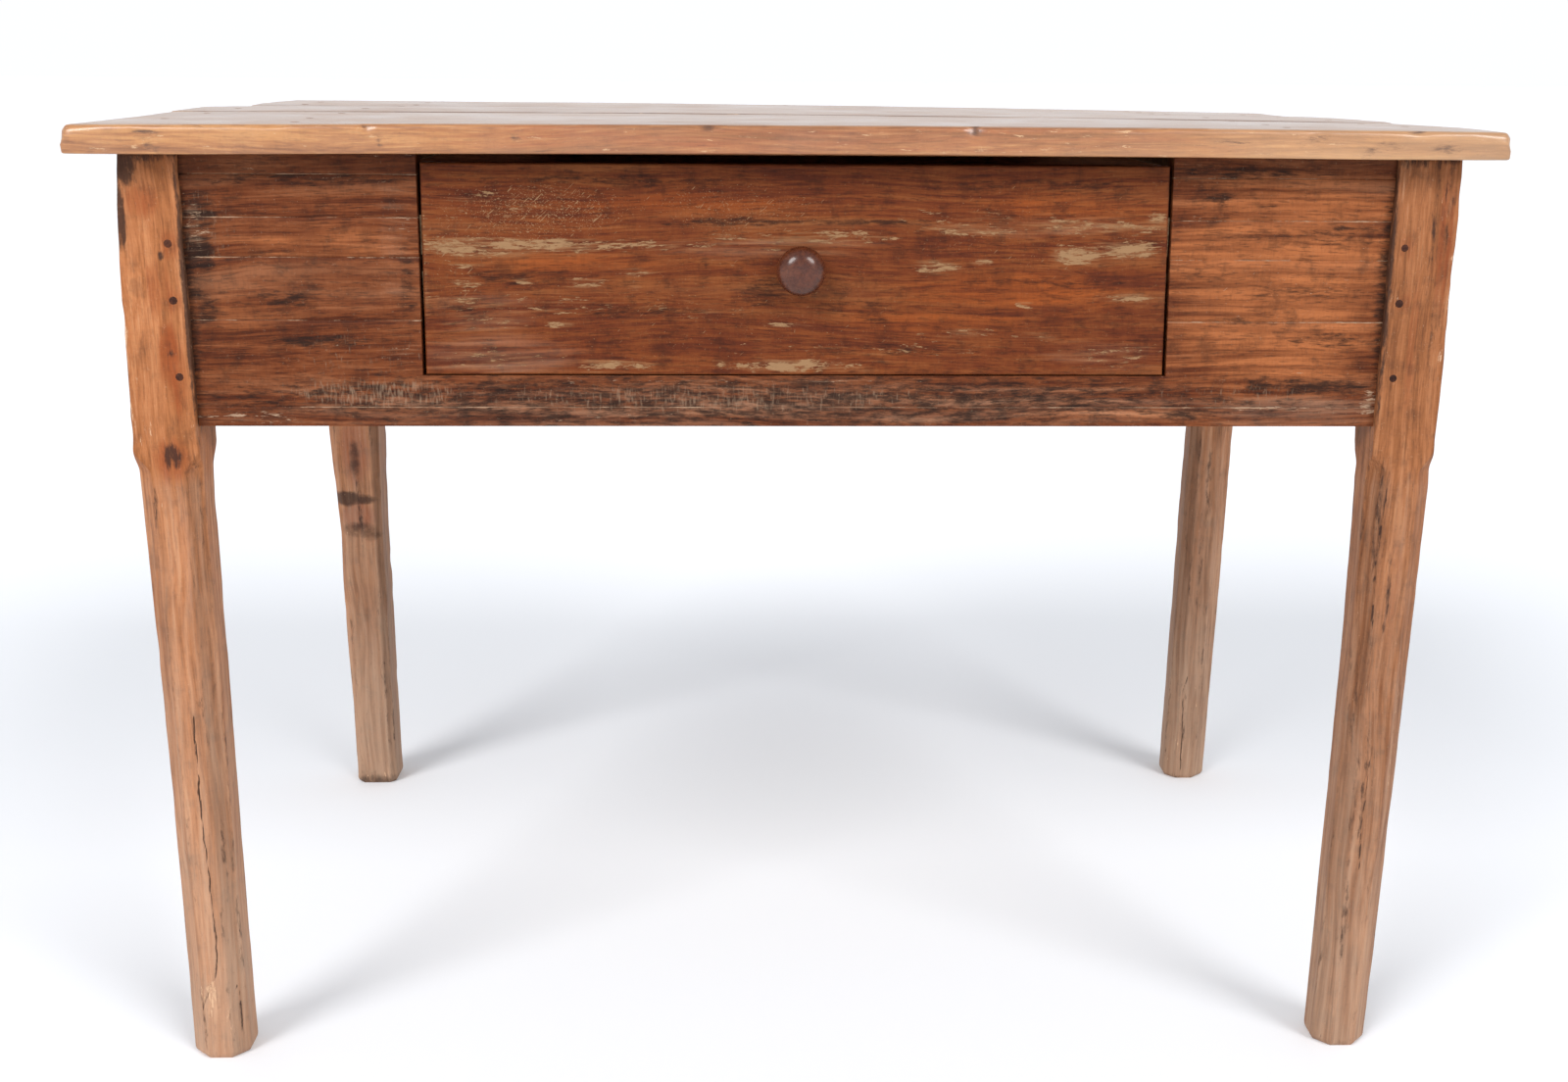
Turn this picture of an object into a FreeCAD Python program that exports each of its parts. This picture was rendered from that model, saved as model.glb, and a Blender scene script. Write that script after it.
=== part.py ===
import FreeCAD, Part
import os
import re

import Sketcher

# A farmhouse tavern table: a plank top pegged to a mortised and tenoned frame, with one drawer.
# The frame stands on the floor at Z = 0, X runs along the front, and the drawer opens towards -Y.
# The origin lies on the floor under the middle of the top. All sizes are millimetres.

SIZES = {
    # Top: three planks, lying on the frame, thicker at one end than at the other
    "top_length": 1084,
    "top_depth": 704,
    "overhang_left": 36,
    "overhang_right": 28,
    "overhang_front": 26,
    "overhang_rear": 26,
    "front_plank_extra": 20,
    "middle_plank_extra": 32,
    "plank_gap": 1.5,
    "front_plank_step": 13,
    "middle_plank_step": 7,
    "front_thick_left": 22,
    "front_thick_right": 20.5,
    "middle_thick_left": 25,
    "middle_thick_right": 19.5,
    "rear_thick_left": 28,
    "rear_thick_right": 18,
    "worn_edge": 4,
    "worn_underside": 1.5,
    # Legs: a square block above, a stopped chamfer, then a tapering octagon
    "leg_length": 758.5,
    "leg_side": 48,
    "foot_side": 44,
    "leg_chamfer": 12,
    "foot_chamfer": 11.5,
    "stop_drop": 18,
    "stop_length": 20,
    "stop_nick": 0.8,
    "lean_front_left": -1.5,
    "lean_front_right": 6.4,
    "lean_rear_left": 1.5,
    "lean_rear_right": 6.4,
    # Aprons and their tenons
    "apron_height": 209,
    "apron_thickness": 22,
    "apron_setback": 6,
    "tenon_thickness": 9,
    "tenon_shoulder_low": 14,
    "tenon_shoulder_high": 17,
    "mortise_web": 3,
    "joint_fit": 0.1,
    # Pegs through the tenons, heights counted from the foot of the apron
    "peg_diameter": 6.5,
    "peg_length": 33,
    "peg_inset": 9.5,
    "peg_low": 39.5,
    "peg_middle": 98,
    "peg_high": 141,
    "peg_fit": 0.1,
    # Pegs that hold the planks down
    "top_peg_diameter": 8,
    "top_peg_depth": 45,
    "top_peg_sunk": 0.5,
    # Cleats under the planks
    "cleat_inset": 130,
    "cleat_width": 45,
    "cleat_thickness": 24,
    # Cut-out for the drawer, runners, guides and stops
    "panel_width": 172,
    "opening_shift": 3,
    "lower_rail": 40,
    "runner_height": 28,
    "runner_ledge": 22,
    "runner_tenon": 8,
    "runner_tenon_height": 14,
    "slide_gap": 0.3,
    "guide_width": 20,
    "guide_height": 24,
    "stop_height": 18,
    "stop_depth": 27.7,
    "stop_gap": 0.3,
    # Drawer
    "drawer_side_gap": 2.7,
    "drawer_foot_gap": 0.8,
    "drawer_head_gap": 7.5,
    "drawer_front_thickness": 21,
    "drawer_side_thickness": 13,
    "drawer_side_height": 128,
    "front_lap": 6,
    "tail_width": 30,
    "tail_slope": 6,
    "drawer_back_thickness": 13,
    "drawer_back_inset": 12,
    "drawer_back_drop": 10,
    "housing_depth": 5,
    "bottom_thickness": 8,
    "bottom_height": 10,
    "bottom_fit": 0.4,
    "groove_depth": 5,
    # Knob, turned in one piece with its spigot, and the wedge that locks it
    "knob_diameter": 34.5,
    "knob_neck_diameter": 18,
    "knob_neck_length": 14,
    "knob_rim_length": 5,
    "knob_bevel_length": 5.5,
    "knob_bevel_width": 4.5,
    "knob_length": 27.5,
    "knob_offset": 3,
    "knob_rise": 2,
    "spigot_diameter": 12,
    "spigot_tail": 3,
    "wedge_length": 13,
    "wedge_thick_end": 2.6,
    "wedge_thin_end": 0.9,
    "wedge_width": 10.5,
    "wedge_fit": 0.05,
    # Nails
    "nail_diameter": 2.8,
    "nail_head_diameter": 7,
    "nail_head_thickness": 1.2,
    "nail_bite": 16,
    "nail_fit": 0.1,
    "nail_end_margin": 60,
    "sprig_diameter": 2.4,
    "sprig_length": 32,
    "sprig_margin": 24,
}

PEG_SIDES = 8
NAIL_SIDES = 4
TAIL_COUNT = 3
BOTTOM_BOARDS = 3
GUIDE_NAILS = 3

doc = FreeCAD.newDocument("tavern_table")
sheet = doc.addObject("Spreadsheet::Sheet", "Sizes")
for row, (alias, size) in enumerate(SIZES.items(), start=1):
    sheet.set(f"A{row}", alias)
    sheet.set(f"B{row}", str(size))
    sheet.setAlias(f"B{row}", alias)
doc.recompute()

# Places that several pieces share, as formulas of the sizes
FRAME_LENGTH = "(top_length - overhang_left - overhang_right)"
FRAME_DEPTH = "(top_depth - overhang_front - overhang_rear)"
FRAME_X = "((overhang_left - overhang_right)/2)"
FRAME_Y = "((overhang_front - overhang_rear)/2)"
FRAME_FRONT = f"({FRAME_Y} - {FRAME_DEPTH}/2)"
FRAME_REAR = f"({FRAME_Y} + {FRAME_DEPTH}/2)"
FRONT_SPAN = f"({FRAME_LENGTH} - 2*leg_side)"
SIDE_SPAN = f"({FRAME_DEPTH} - 2*leg_side)"
APRON_FOOT = "(leg_length - apron_height)"
APRON_MID = "(apron_setback + apron_thickness/2)"
INNER_DEPTH = f"({FRAME_DEPTH} - 2*apron_setback - 2*apron_thickness)"
TENON_LENGTH = f"(leg_side - {APRON_MID} - tenon_thickness/2 - mortise_web)"
PEG_HEIGHTS = ["peg_low", "peg_middle", "peg_high"]
PEG_BORE = "peg_diameter/2 + peg_fit"
TOP_BORE = "top_peg_diameter/2 + peg_fit"
NAIL_BORE = "nail_diameter/2 + nail_fit"
SPRIG_BORE = "sprig_diameter/2 + nail_fit"

THIRD = "((top_depth - 2*plank_gap)/3)"
FRONT_PLANK = f"({THIRD} + front_plank_extra)"
MIDDLE_PLANK = f"({THIRD} + middle_plank_extra)"
SEAM_FRONT = f"({FRONT_PLANK} - top_depth/2)"
MIDDLE_FRONT = f"({SEAM_FRONT} + plank_gap)"
SEAM_REAR = f"({MIDDLE_FRONT} + {MIDDLE_PLANK})"
REAR_FRONT = f"({SEAM_REAR} + plank_gap)"
TOP_LEFT = "(0 - top_length/2)"
TOP_RIGHT = "(top_length/2)"

OPENING_WIDTH = f"({FRONT_SPAN} - 2*panel_width)"
OPEN_LEFT = f"(opening_shift - {OPENING_WIDTH}/2)"
OPEN_RIGHT = f"(opening_shift + {OPENING_WIDTH}/2)"
PANEL_LEFT = f"(({OPEN_LEFT} - {FRONT_SPAN}/2)/2)"
PANEL_RIGHT = f"(({OPEN_RIGHT} + {FRONT_SPAN}/2)/2)"
DRAWER_FOOT = f"({APRON_FOOT} + lower_rail + drawer_foot_gap)"
DRAWER_FACE = f"({FRAME_FRONT} + apron_setback)"
DRAWER_WIDTH = f"({OPENING_WIDTH} - 2*drawer_side_gap)"
DRAWER_LENGTH = f"({INNER_DEPTH} + apron_thickness - stop_depth - stop_gap)"
DRAWER_FRONT_HEIGHT = "(apron_height - lower_rail - drawer_foot_gap - drawer_head_gap)"
KNOB_HEIGHT = f"({DRAWER_FRONT_HEIGHT}/2 + knob_rise)"
RUNNER_TOP = f"({DRAWER_FOOT} - slide_gap)"
RUNNER_WIDTH = "(runner_ledge + guide_width)"
RUNNER_TENON_LOW = f"({RUNNER_TOP} - runner_height/2 - runner_tenon_height/2)"
BOTTOM_HALF = f"({DRAWER_WIDTH}/2 - drawer_side_thickness + groove_depth - bottom_fit)"
BOTTOM_TOP = "(bottom_height + bottom_thickness)"
BACK_REAR = f"({DRAWER_LENGTH} - drawer_back_inset)"
BACK_FRONT = f"({BACK_REAR} - drawer_back_thickness)"

# Turns that send a bar along +Z towards another axis
INTO_X = (90, FreeCAD.Vector(0, 1, 0))
INTO_Y = (-90, FreeCAD.Vector(1, 0, 0))
INTO_Z = (0, FreeCAD.Vector(0, 0, 1))

pieces = {}
holes = {}


def value(formula):
    """The number that a formula of the sizes gives now."""
    return float(sheet.evalExpression(formula))


def linked(formula):
    """The formula with each size pointing at its cell in the sheet."""
    return re.sub(r"[a-z][a-z_]+", lambda name: f"Sizes.{name.group(0)}", formula)


def bind(thing, setting, formula):
    thing.setExpression(setting, linked(formula))


def place(thing, x, y, z, turn=0, about=FreeCAD.Vector(0, 0, 1)):
    """Puts a piece at formulas of x, y and z, turned by a fixed angle."""
    thing.Placement = FreeCAD.Placement(FreeCAD.Vector(), FreeCAD.Rotation(about, turn))
    for axis, formula in zip("xyz", (x, y, z)):
        bind(thing, f"Placement.Base.{axis}", formula)


def new_body(label):
    body = doc.addObject("PartDesign::Body", label)
    pieces[label] = body
    return body


def new_sketch(body, name, plane, offset="0"):
    """An empty sketch on one of the body's own planes, moved along that plane's normal."""
    sketch = body.newObject("Sketcher::SketchObject", name)
    support = next(item for item in body.Origin.OriginFeatures if item.Role == plane)
    sketch.AttachmentSupport = [(support, "")]
    sketch.MapMode = "FlatFace"
    bind(sketch, "AttachmentOffset.Base.z", offset)
    return sketch


def pin(sketch, line, end, across, up):
    """Holds a point of the sketch at two formulas, measured from the sketch's origin."""
    for kind, formula in (("DistanceX", across), ("DistanceY", up)):
        number = sketch.addConstraint(Sketcher.Constraint(kind, -1, 1, line, end, value(formula)))
        bind(sketch, f"Constraints[{number}]", formula)


def outline(sketch, corners):
    """A closed outline of straight lines through corners given as formulas."""
    points = [FreeCAD.Vector(value(across), value(up), 0) for across, up in corners]
    first = sketch.GeometryCount
    count = len(points)
    for index in range(count):
        sketch.addGeometry(Part.LineSegment(points[index], points[(index + 1) % count]))
    for index, (across, up) in enumerate(corners):
        before = first + (index - 1) % count
        sketch.addConstraint(Sketcher.Constraint("Coincident", before, 2, first + index, 1))
        pin(sketch, first + index, 1, across, up)


def rectangle(sketch, left, right, low, high):
    outline(sketch, [(left, low), (right, low), (right, high), (left, high)])


def circle(sketch, across, up, radius):
    centre = FreeCAD.Vector(value(across), value(up), 0)
    index = sketch.addGeometry(Part.Circle(centre, FreeCAD.Vector(0, 0, 1), value(radius)))
    pin(sketch, index, 3, across, up)
    number = sketch.addConstraint(Sketcher.Constraint("Radius", index, value(radius)))
    bind(sketch, f"Constraints[{number}]", radius)


def pad(body, sketch, length, back=False):
    feature = body.newObject("PartDesign::Pad", f"{sketch.Name}_pad")
    feature.Profile = sketch
    feature.Reversed = back
    bind(feature, "Length", length)
    return feature


def pocket(body, sketch, depth, back=False):
    feature = body.newObject("PartDesign::Pocket", f"{sketch.Name}_cut")
    feature.Profile = sketch
    feature.Reversed = back
    bind(feature, "Length", depth)
    return feature


def round_edges(body, base, radius, wanted):
    """Rounds the edges of a feature whose bounding box passes the test."""
    doc.recompute()
    edges = enumerate(base.Shape.Edges, start=1)
    names = [f"Edge{number}" for number, edge in edges if wanted(edge.BoundBox)]
    feature = body.newObject("PartDesign::Fillet", f"{base.Name}_round")
    feature.Base = (base, names)
    bind(feature, "Radius", radius)
    return feature


def prism(name, radius, height, sides):
    """A straight bar of several sides along its own +Z, with corners at this radius."""
    shape = doc.addObject("Part::Prism", name)
    shape.Polygon = sides
    bind(shape, "Circumradius", radius)
    bind(shape, "Height", height)
    return shape


def bore(body, name, radius, depth, sides, spot, direction=INTO_Z):
    """A hole to be bored in a body, with as many sides as the peg or nail in it, placed as in that body."""
    hole = prism(name, radius, depth, sides)
    place(hole, *spot, *direction)
    holes.setdefault(body, []).append(hole)


def bore_all():
    """Bores the holes of each body in one cut, and takes the bored board as the piece."""
    for body, bits in holes.items():
        bundle = doc.addObject("Part::Compound", f"{body.Name}_bits")
        bundle.Links = bits
        bundle.setExpression("Placement", f"{body.Name}.Placement")
        bored = doc.addObject("Part::Cut", f"{body.Name}_bored")
        bored.Base = body
        bored.Tool = bundle
        pieces[body.Name] = bored


def nail(name, length):
    """A nail along its own -Z, with the underside of its head at the origin."""
    shank = prism(f"{name}_shank", "nail_diameter/2", length, NAIL_SIDES)
    place(shank, "0", "0", f"0 - {length}")
    head = prism(f"{name}_head", "nail_head_diameter/2", "nail_head_thickness", PEG_SIDES)
    whole = doc.addObject("Part::Fuse", name)
    whole.Base = shank
    whole.Tool = head
    return whole


def group(label, members):
    """Identical fasteners as one piece of several solids."""
    compound = doc.addObject("Part::Compound", label)
    compound.Links = members
    pieces[label] = compound
    return compound


def octagon(side, chamfer, lean_x="0", lean_y="0"):
    """Corners of a square with cut corners, its middle moved by the lean."""
    far = f"({side}/2)"
    near = f"({side}/2 - {chamfer})"
    turns = [(f"0-{near}", f"0-{far}"), (near, f"0-{far}"), (far, f"0-{near}"), (far, near)]
    turns += [(near, far), (f"0-{near}", far), (f"0-{far}", near), (f"0-{far}", f"0-{near}")]
    return [(f"{lean_x} + {across}", f"{lean_y} + {up}") for across, up in turns]


# Legs: each is drawn as the front left one, with its outer faces towards -X and -Y, and then turned
def make_leg(corner, x, y, turn, lean_x, lean_y):
    label = f"leg_{corner}"
    body = new_body(label)
    block_foot = f"({APRON_FOOT} - stop_drop)"
    block = new_sketch(body, f"{label}_block", "XY_Plane", block_foot)
    rectangle(block, "0 - leg_side/2", "leg_side/2", "0 - leg_side/2", "leg_side/2")
    pad(body, block, "apron_height + stop_drop")

    sections = []
    for name, height, corners in (
        ("stop", block_foot, octagon("leg_side", "stop_nick")),
        ("shank", f"{block_foot} - stop_length", octagon("leg_side", "leg_chamfer")),
        ("foot", "0", octagon("foot_side", "foot_chamfer", lean_x, lean_y)),
    ):
        section = new_sketch(body, f"{label}_{name}", "XY_Plane", height)
        outline(section, corners)
        sections.append(section)
    shank = body.newObject("PartDesign::AdditiveLoft", f"{label}_loft")
    shank.Profile = sections[0]
    shank.Sections = sections[1:]
    shank.Ruled = True

    middle = f"({APRON_MID} - leg_side/2)"
    half = "(tenon_thickness/2 + joint_fit)"
    low = f"{APRON_FOOT} + tenon_shoulder_low - joint_fit"
    high = "leg_length - tenon_shoulder_high + joint_fit"
    for name, plane, offset, back in (
        ("mortise_x", "YZ_Plane", "leg_side/2", False),
        ("mortise_y", "XZ_Plane", "0 - leg_side/2", True),
    ):
        mortise = new_sketch(body, f"{label}_{name}", plane, offset)
        rectangle(mortise, f"{middle} - {half}", f"{middle} + {half}", low, high)
        pocket(body, mortise, f"{TENON_LENGTH} + joint_fit", back)

    pegs = []
    face = "0 - leg_side/2"
    inset = "leg_side/2 - peg_inset"
    for height in PEG_HEIGHTS:
        level = f"{APRON_FOOT} + {height}"
        for way, spot, direction in (
            ("y", (inset, face, level), INTO_Y),
            ("x", (face, inset, level), INTO_X),
        ):
            name = f"{label}_{height}_{way}"
            bore(body, f"{name}_hole", PEG_BORE, "peg_length", PEG_SIDES, spot, direction)
            peg = prism(name, "peg_diameter/2", "peg_length", PEG_SIDES)
            place(peg, *spot, *direction)
            pegs.append(peg)
    for thing in (body, group(f"pegs_{corner}", pegs)):
        place(thing, x, y, "0", turn)


LEG_LEFT = f"{FRAME_X} - {FRAME_LENGTH}/2 + leg_side/2"
LEG_RIGHT = f"{FRAME_X} + {FRAME_LENGTH}/2 - leg_side/2"
LEG_FRONT = f"{FRAME_FRONT} + leg_side/2"
LEG_REAR = f"{FRAME_REAR} - leg_side/2"
make_leg("front_left", LEG_LEFT, LEG_FRONT, 0, "lean_front_left", "0")
make_leg("front_right", LEG_RIGHT, LEG_FRONT, 90, "0", "lean_front_right")
make_leg("rear_right", LEG_RIGHT, LEG_REAR, 180, "lean_rear_right", "0")
make_leg("rear_left", LEG_LEFT, LEG_REAR, 270, "0", "lean_rear_left")


# Aprons: each is drawn as the front one, outer face at Y = 0 and foot at Z = 0, and then turned
def make_apron(label, span, cut_out, runner_edges, top_pegs):
    body = new_body(label)
    half = f"({span}/2)"
    board = new_sketch(body, f"{label}_board", "XZ_Plane")
    corners = [(f"0-{half}", "0"), (half, "0"), (half, "apron_height")]
    if cut_out:
        corners += [(OPEN_RIGHT, "apron_height"), (OPEN_RIGHT, "lower_rail")]
        corners += [(OPEN_LEFT, "lower_rail"), (OPEN_LEFT, "apron_height")]
    outline(board, corners + [(f"0-{half}", "apron_height")])
    pad(body, board, "apron_thickness", back=True)

    tenons = new_sketch(body, f"{label}_tenons", "XZ_Plane", "0 - (apron_thickness - tenon_thickness)/2")
    low = "tenon_shoulder_low"
    high = "apron_height - tenon_shoulder_high"
    rectangle(tenons, half, f"{half} + {TENON_LENGTH}", low, high)
    rectangle(tenons, f"0 - {half} - {TENON_LENGTH}", f"0 - {half}", low, high)
    pad(body, tenons, "tenon_thickness", back=True)

    for end, x in (("right", f"{half} + peg_inset"), ("left", f"0 - {half} - peg_inset")):
        for height in PEG_HEIGHTS:
            spot = (x, "0", height)
            bore(body, f"{label}_{end}_{height}", PEG_BORE, "apron_thickness", PEG_SIDES, spot, INTO_Y)

    if runner_edges:
        seats = new_sketch(body, f"{label}_runner_seats", "XZ_Plane", "0 - apron_thickness")
        low = f"{RUNNER_TENON_LOW} - {APRON_FOOT}"
        for left, right in runner_edges:
            sides = (f"{left} - joint_fit", f"{right} + joint_fit")
            rectangle(seats, *sides, f"{low} - joint_fit", f"{low} + runner_tenon_height + joint_fit")
        pocket(body, seats, "runner_tenon + joint_fit", back=True)

    for number, x in enumerate(top_pegs, start=1):
        spot = (x, "apron_thickness/2", "apron_height - top_peg_depth")
        bore(body, f"{label}_socket_{number}", TOP_BORE, "top_peg_depth", PEG_SIDES, spot)
    return body


def peg_rows(start, end):
    """Two rows of pegs across a plank, each a fifth of the way in from where it is free of seams and legs."""
    fifth = f"(({end} - {start})/5)"
    return [f"({start} + {fifth})", f"({end} - {fifth})"]


ROWS = {
    "front": peg_rows(f"({FRAME_FRONT} + leg_side)", SEAM_FRONT),
    "middle": peg_rows(MIDDLE_FRONT, SEAM_REAR),
    "rear": peg_rows(REAR_FRONT, f"({FRAME_REAR} - leg_side)"),
}
ALL_ROWS = [row for plank_rows in ROWS.values() for row in plank_rows]
RUNNERS = [
    (f"({OPEN_LEFT} - guide_width)", f"({OPEN_LEFT} + runner_ledge)"),
    (f"({OPEN_RIGHT} - runner_ledge)", f"({OPEN_RIGHT} + guide_width)"),
]
RUNNERS_FROM_REAR = [(f"0 - {right}", f"0 - {left}") for left, right in RUNNERS]
REAR_PEGS = [PANEL_LEFT, "0", PANEL_RIGHT]

front_apron = make_apron("front_apron", FRONT_SPAN, True, RUNNERS, [PANEL_LEFT, PANEL_RIGHT])
place(front_apron, FRAME_X, DRAWER_FACE, APRON_FOOT)
rear_apron = make_apron("rear_apron", FRONT_SPAN, False, RUNNERS_FROM_REAR, [f"0 - {x}" for x in REAR_PEGS])
place(rear_apron, FRAME_X, f"{FRAME_REAR} - apron_setback", APRON_FOOT, 180)
right_apron = make_apron("right_apron", SIDE_SPAN, False, [], [f"{row} - {FRAME_Y}" for row in ALL_ROWS])
place(right_apron, f"{FRAME_X} + {FRAME_LENGTH}/2 - apron_setback", FRAME_Y, APRON_FOOT, 90)
left_apron = make_apron("left_apron", SIDE_SPAN, False, [], [f"{FRAME_Y} - ({row})" for row in ALL_ROWS])
place(left_apron, f"{FRAME_X} - {FRAME_LENGTH}/2 + apron_setback", FRAME_Y, APRON_FOOT, 270)


# Cleats across the underside of the planks, between the front and rear aprons
CLEATS = {
    "left": f"({FRAME_X} - {FRAME_LENGTH}/2 + cleat_inset)",
    "right": f"({FRAME_X} + {FRAME_LENGTH}/2 - cleat_inset)",
}
for side, x in CLEATS.items():
    body = new_body(f"top_cleat_{side}")
    strip = new_sketch(body, f"cleat_{side}_strip", "XY_Plane")
    rectangle(strip, "0 - cleat_width/2", "cleat_width/2", f"0 - {INNER_DEPTH}/2", f"{INNER_DEPTH}/2")
    pad(body, strip, "cleat_thickness")
    for number, row in enumerate(ALL_ROWS, start=1):
        spot = ("0", f"{row} - {FRAME_Y}", "0")
        bore(body, f"cleat_{side}_hole_{number}", TOP_BORE, "cleat_thickness", PEG_SIDES, spot)
    place(body, x, FRAME_Y, "leg_length - cleat_thickness")


# Planks: a long wedge each, drawn from the front with its underside at Z = 0, rounded by wear outside
def make_plank(name, front, width, left, outer_edge, extra_pegs):
    label = f"top_plank_{name}"
    body = new_body(label)
    thick_left = f"{name}_thick_left"
    thick_right = f"{name}_thick_right"
    wedge = new_sketch(body, f"{label}_wedge", "XZ_Plane")
    outline(wedge, [(left, "0"), (TOP_RIGHT, "0"), (TOP_RIGHT, thick_right), (left, thick_left)])
    plank = pad(body, wedge, width, back=True)

    ends = [value(left), value(TOP_RIGHT)]
    long_edge = {"front": 0.0, "rear": value(width)}.get(outer_edge)
    hair = 0.01

    def outside(box):
        on_end = any(max(abs(box.XMin - end), abs(box.XMax - end)) < hair for end in ends)
        on_long = long_edge is not None and max(abs(box.YMin - long_edge), abs(box.YMax - long_edge)) < hair
        return on_end != on_long

    def above(box):
        return outside(box) and box.ZMin > hair

    worn = round_edges(body, plank, "worn_edge", above)

    def below(box):
        return outside(box) and box.ZMax < hair

    round_edges(body, worn, "worn_underside", below)

    frame_half = f"({FRAME_LENGTH}/2 - {APRON_MID})"
    spots = []
    for row in ROWS[name]:
        for x in (f"{FRAME_X} - {frame_half}", f"{FRAME_X} + {frame_half}"):
            spots.append((x, row, "top_peg_depth"))
        for x in CLEATS.values():
            spots.append((x, row, "cleat_thickness"))
    spots += extra_pegs

    pegs = []
    through = f"{thick_left} + {thick_right}"
    for number, (x, y, depth) in enumerate(spots, start=1):
        hole = (x, f"{y} - ({front})", "0")
        bore(body, f"{label}_hole_{number}", TOP_BORE, through, PEG_SIDES, hole)
        share = f"(({x} - {left})/({TOP_RIGHT} - {left}))"
        thickness = f"({thick_left} + ({thick_right} - {thick_left})*{share})"
        height = f"{depth} + {thickness} - top_peg_sunk"
        peg = prism(f"{label}_peg_{number}", "top_peg_diameter/2", height, PEG_SIDES)
        place(peg, x, y, f"leg_length - {depth}")
        pegs.append(peg)
    place(body, "0", front, "leg_length")
    group(f"top_pegs_{name}", pegs)


front_line = f"{FRAME_FRONT} + {APRON_MID}"
rear_line = f"{FRAME_REAR} - {APRON_MID}"
front_extra = [(f"{FRAME_X} + {x}", front_line, "top_peg_depth") for x in (PANEL_LEFT, PANEL_RIGHT)]
rear_extra = [(f"{FRAME_X} + {x}", rear_line, "top_peg_depth") for x in REAR_PEGS]
front_left_end = f"({TOP_LEFT} + front_plank_step)"
middle_left_end = f"({TOP_LEFT} + middle_plank_step)"
make_plank("front", "0 - top_depth/2", FRONT_PLANK, front_left_end, "front", front_extra)
make_plank("middle", MIDDLE_FRONT, MIDDLE_PLANK, middle_left_end, None, [])
make_plank("rear", REAR_FRONT, f"top_depth/2 - {REAR_FRONT}", TOP_LEFT, "rear", rear_extra)


# Runners with a stub tenon at each end, guides nailed on them, and stops behind the drawer
def make_runner(side, edges, guide_inner, stop_edges):
    left, right = edges
    body = new_body(f"drawer_runner_{side}")
    half = f"({INNER_DEPTH}/2)"
    tip = f"({INNER_DEPTH}/2 + runner_tenon)"
    low = f"{RUNNER_TENON_LOW} - {RUNNER_TOP}"
    high = f"{low} + runner_tenon_height"
    strip = new_sketch(body, f"runner_{side}_strip", "YZ_Plane")
    corners = [(f"0-{half}", "0 - runner_height"), (half, "0 - runner_height"), (half, low), (tip, low)]
    corners += [(tip, high), (half, high), (half, "0"), (f"0-{half}", "0")]
    corners += [(f"0-{half}", high), (f"0-{tip}", high), (f"0-{tip}", low), (f"0-{half}", low)]
    outline(strip, corners)
    pad(body, strip, RUNNER_WIDTH)
    place(body, f"{FRAME_X} + {left}", FRAME_Y, RUNNER_TOP)

    guide = new_body(f"drawer_guide_{side}")
    bar = new_sketch(guide, f"guide_{side}_bar", "XY_Plane")
    rectangle(bar, "0", "guide_width", f"0 - {half}", half)
    pad(guide, bar, "guide_height")
    place(guide, f"{FRAME_X} + {guide_inner}", FRAME_Y, RUNNER_TOP)

    spread = f"({INNER_DEPTH} - 2*nail_end_margin)"
    spots = [f"({spread}*{index}/{GUIDE_NAILS - 1} - {spread}/2)" for index in range(GUIDE_NAILS)]
    across = f"{guide_inner} - {left} + guide_width/2"
    nails = []
    for number, y in enumerate(spots, start=1):
        name = f"{side}_nail_{number}"
        in_guide = ("guide_width/2", y, "0")
        bore(guide, f"guide_{name}_hole", NAIL_BORE, "guide_height", NAIL_SIDES, in_guide)
        in_runner = (across, y, "0 - nail_bite")
        bore(body, f"runner_{name}_hole", NAIL_BORE, "nail_bite", NAIL_SIDES, in_runner)
        fixing = nail(f"guide_{name}", "(guide_height + nail_bite)")
        x = f"{FRAME_X} + {guide_inner} + guide_width/2"
        place(fixing, x, f"{FRAME_Y} + {y}", f"{RUNNER_TOP} + guide_height")
        nails.append(fixing)

    stop_front = f"{FRAME_Y} + {half} - stop_depth"
    stop = doc.addObject("Part::Box", f"drawer_stop_{side}")
    pieces[stop.Name] = stop
    bind(stop, "Length", f"{stop_edges[1]} - {stop_edges[0]}")
    bind(stop, "Width", "stop_depth")
    bind(stop, "Height", "stop_height")
    place(stop, f"{FRAME_X} + {stop_edges[0]}", stop_front, RUNNER_TOP)
    return nails


guide_nails = make_runner("left", RUNNERS[0], RUNNERS[0][0], (OPEN_LEFT, RUNNERS[0][1]))
guide_nails += make_runner("right", RUNNERS[1], OPEN_RIGHT, (RUNNERS[1][0], OPEN_RIGHT))
group("guide_nails", guide_nails)


# Drawer: its pieces are drawn from the middle of its front's lower edge, with the face at Y = 0
def place_in_drawer(thing, x="0", y="0", z="0", turn=0, about=FreeCAD.Vector(0, 0, 1)):
    spot = (f"{FRAME_X} + opening_shift + {x}", f"{DRAWER_FACE} + {y}", f"{DRAWER_FOOT} + {z}")
    place(thing, *spot, turn, about)


TAIL_PITCH = f"(drawer_side_height/{TAIL_COUNT})"
TAIL_FLARE = "((drawer_front_thickness - front_lap)/tail_slope)"
TAIL_HEIGHTS = [f"({TAIL_PITCH}*{index + 0.5})" for index in range(TAIL_COUNT)]
SPRIG_HEIGHTS = [f"({BOTTOM_TOP} + sprig_margin)", "(drawer_side_height - drawer_back_drop - sprig_margin)"]
SPRIG_LINE = f"({BACK_REAR} - drawer_back_thickness/2)"


def tail_corners(height, tip, slack):
    """A dovetail seen from the side, widest at its tip, with its root on the back of the drawer front."""
    wide = f"(tail_width/2 + {slack})"
    root = f"(tail_width/2 - {TAIL_FLARE} + {slack})"
    face = "drawer_front_thickness"
    return [(face, f"{height} + {root}"), (tip, f"{height} + {wide}"),
            (tip, f"{height} - {wide}"), (face, f"{height} - {root}")]


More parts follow.
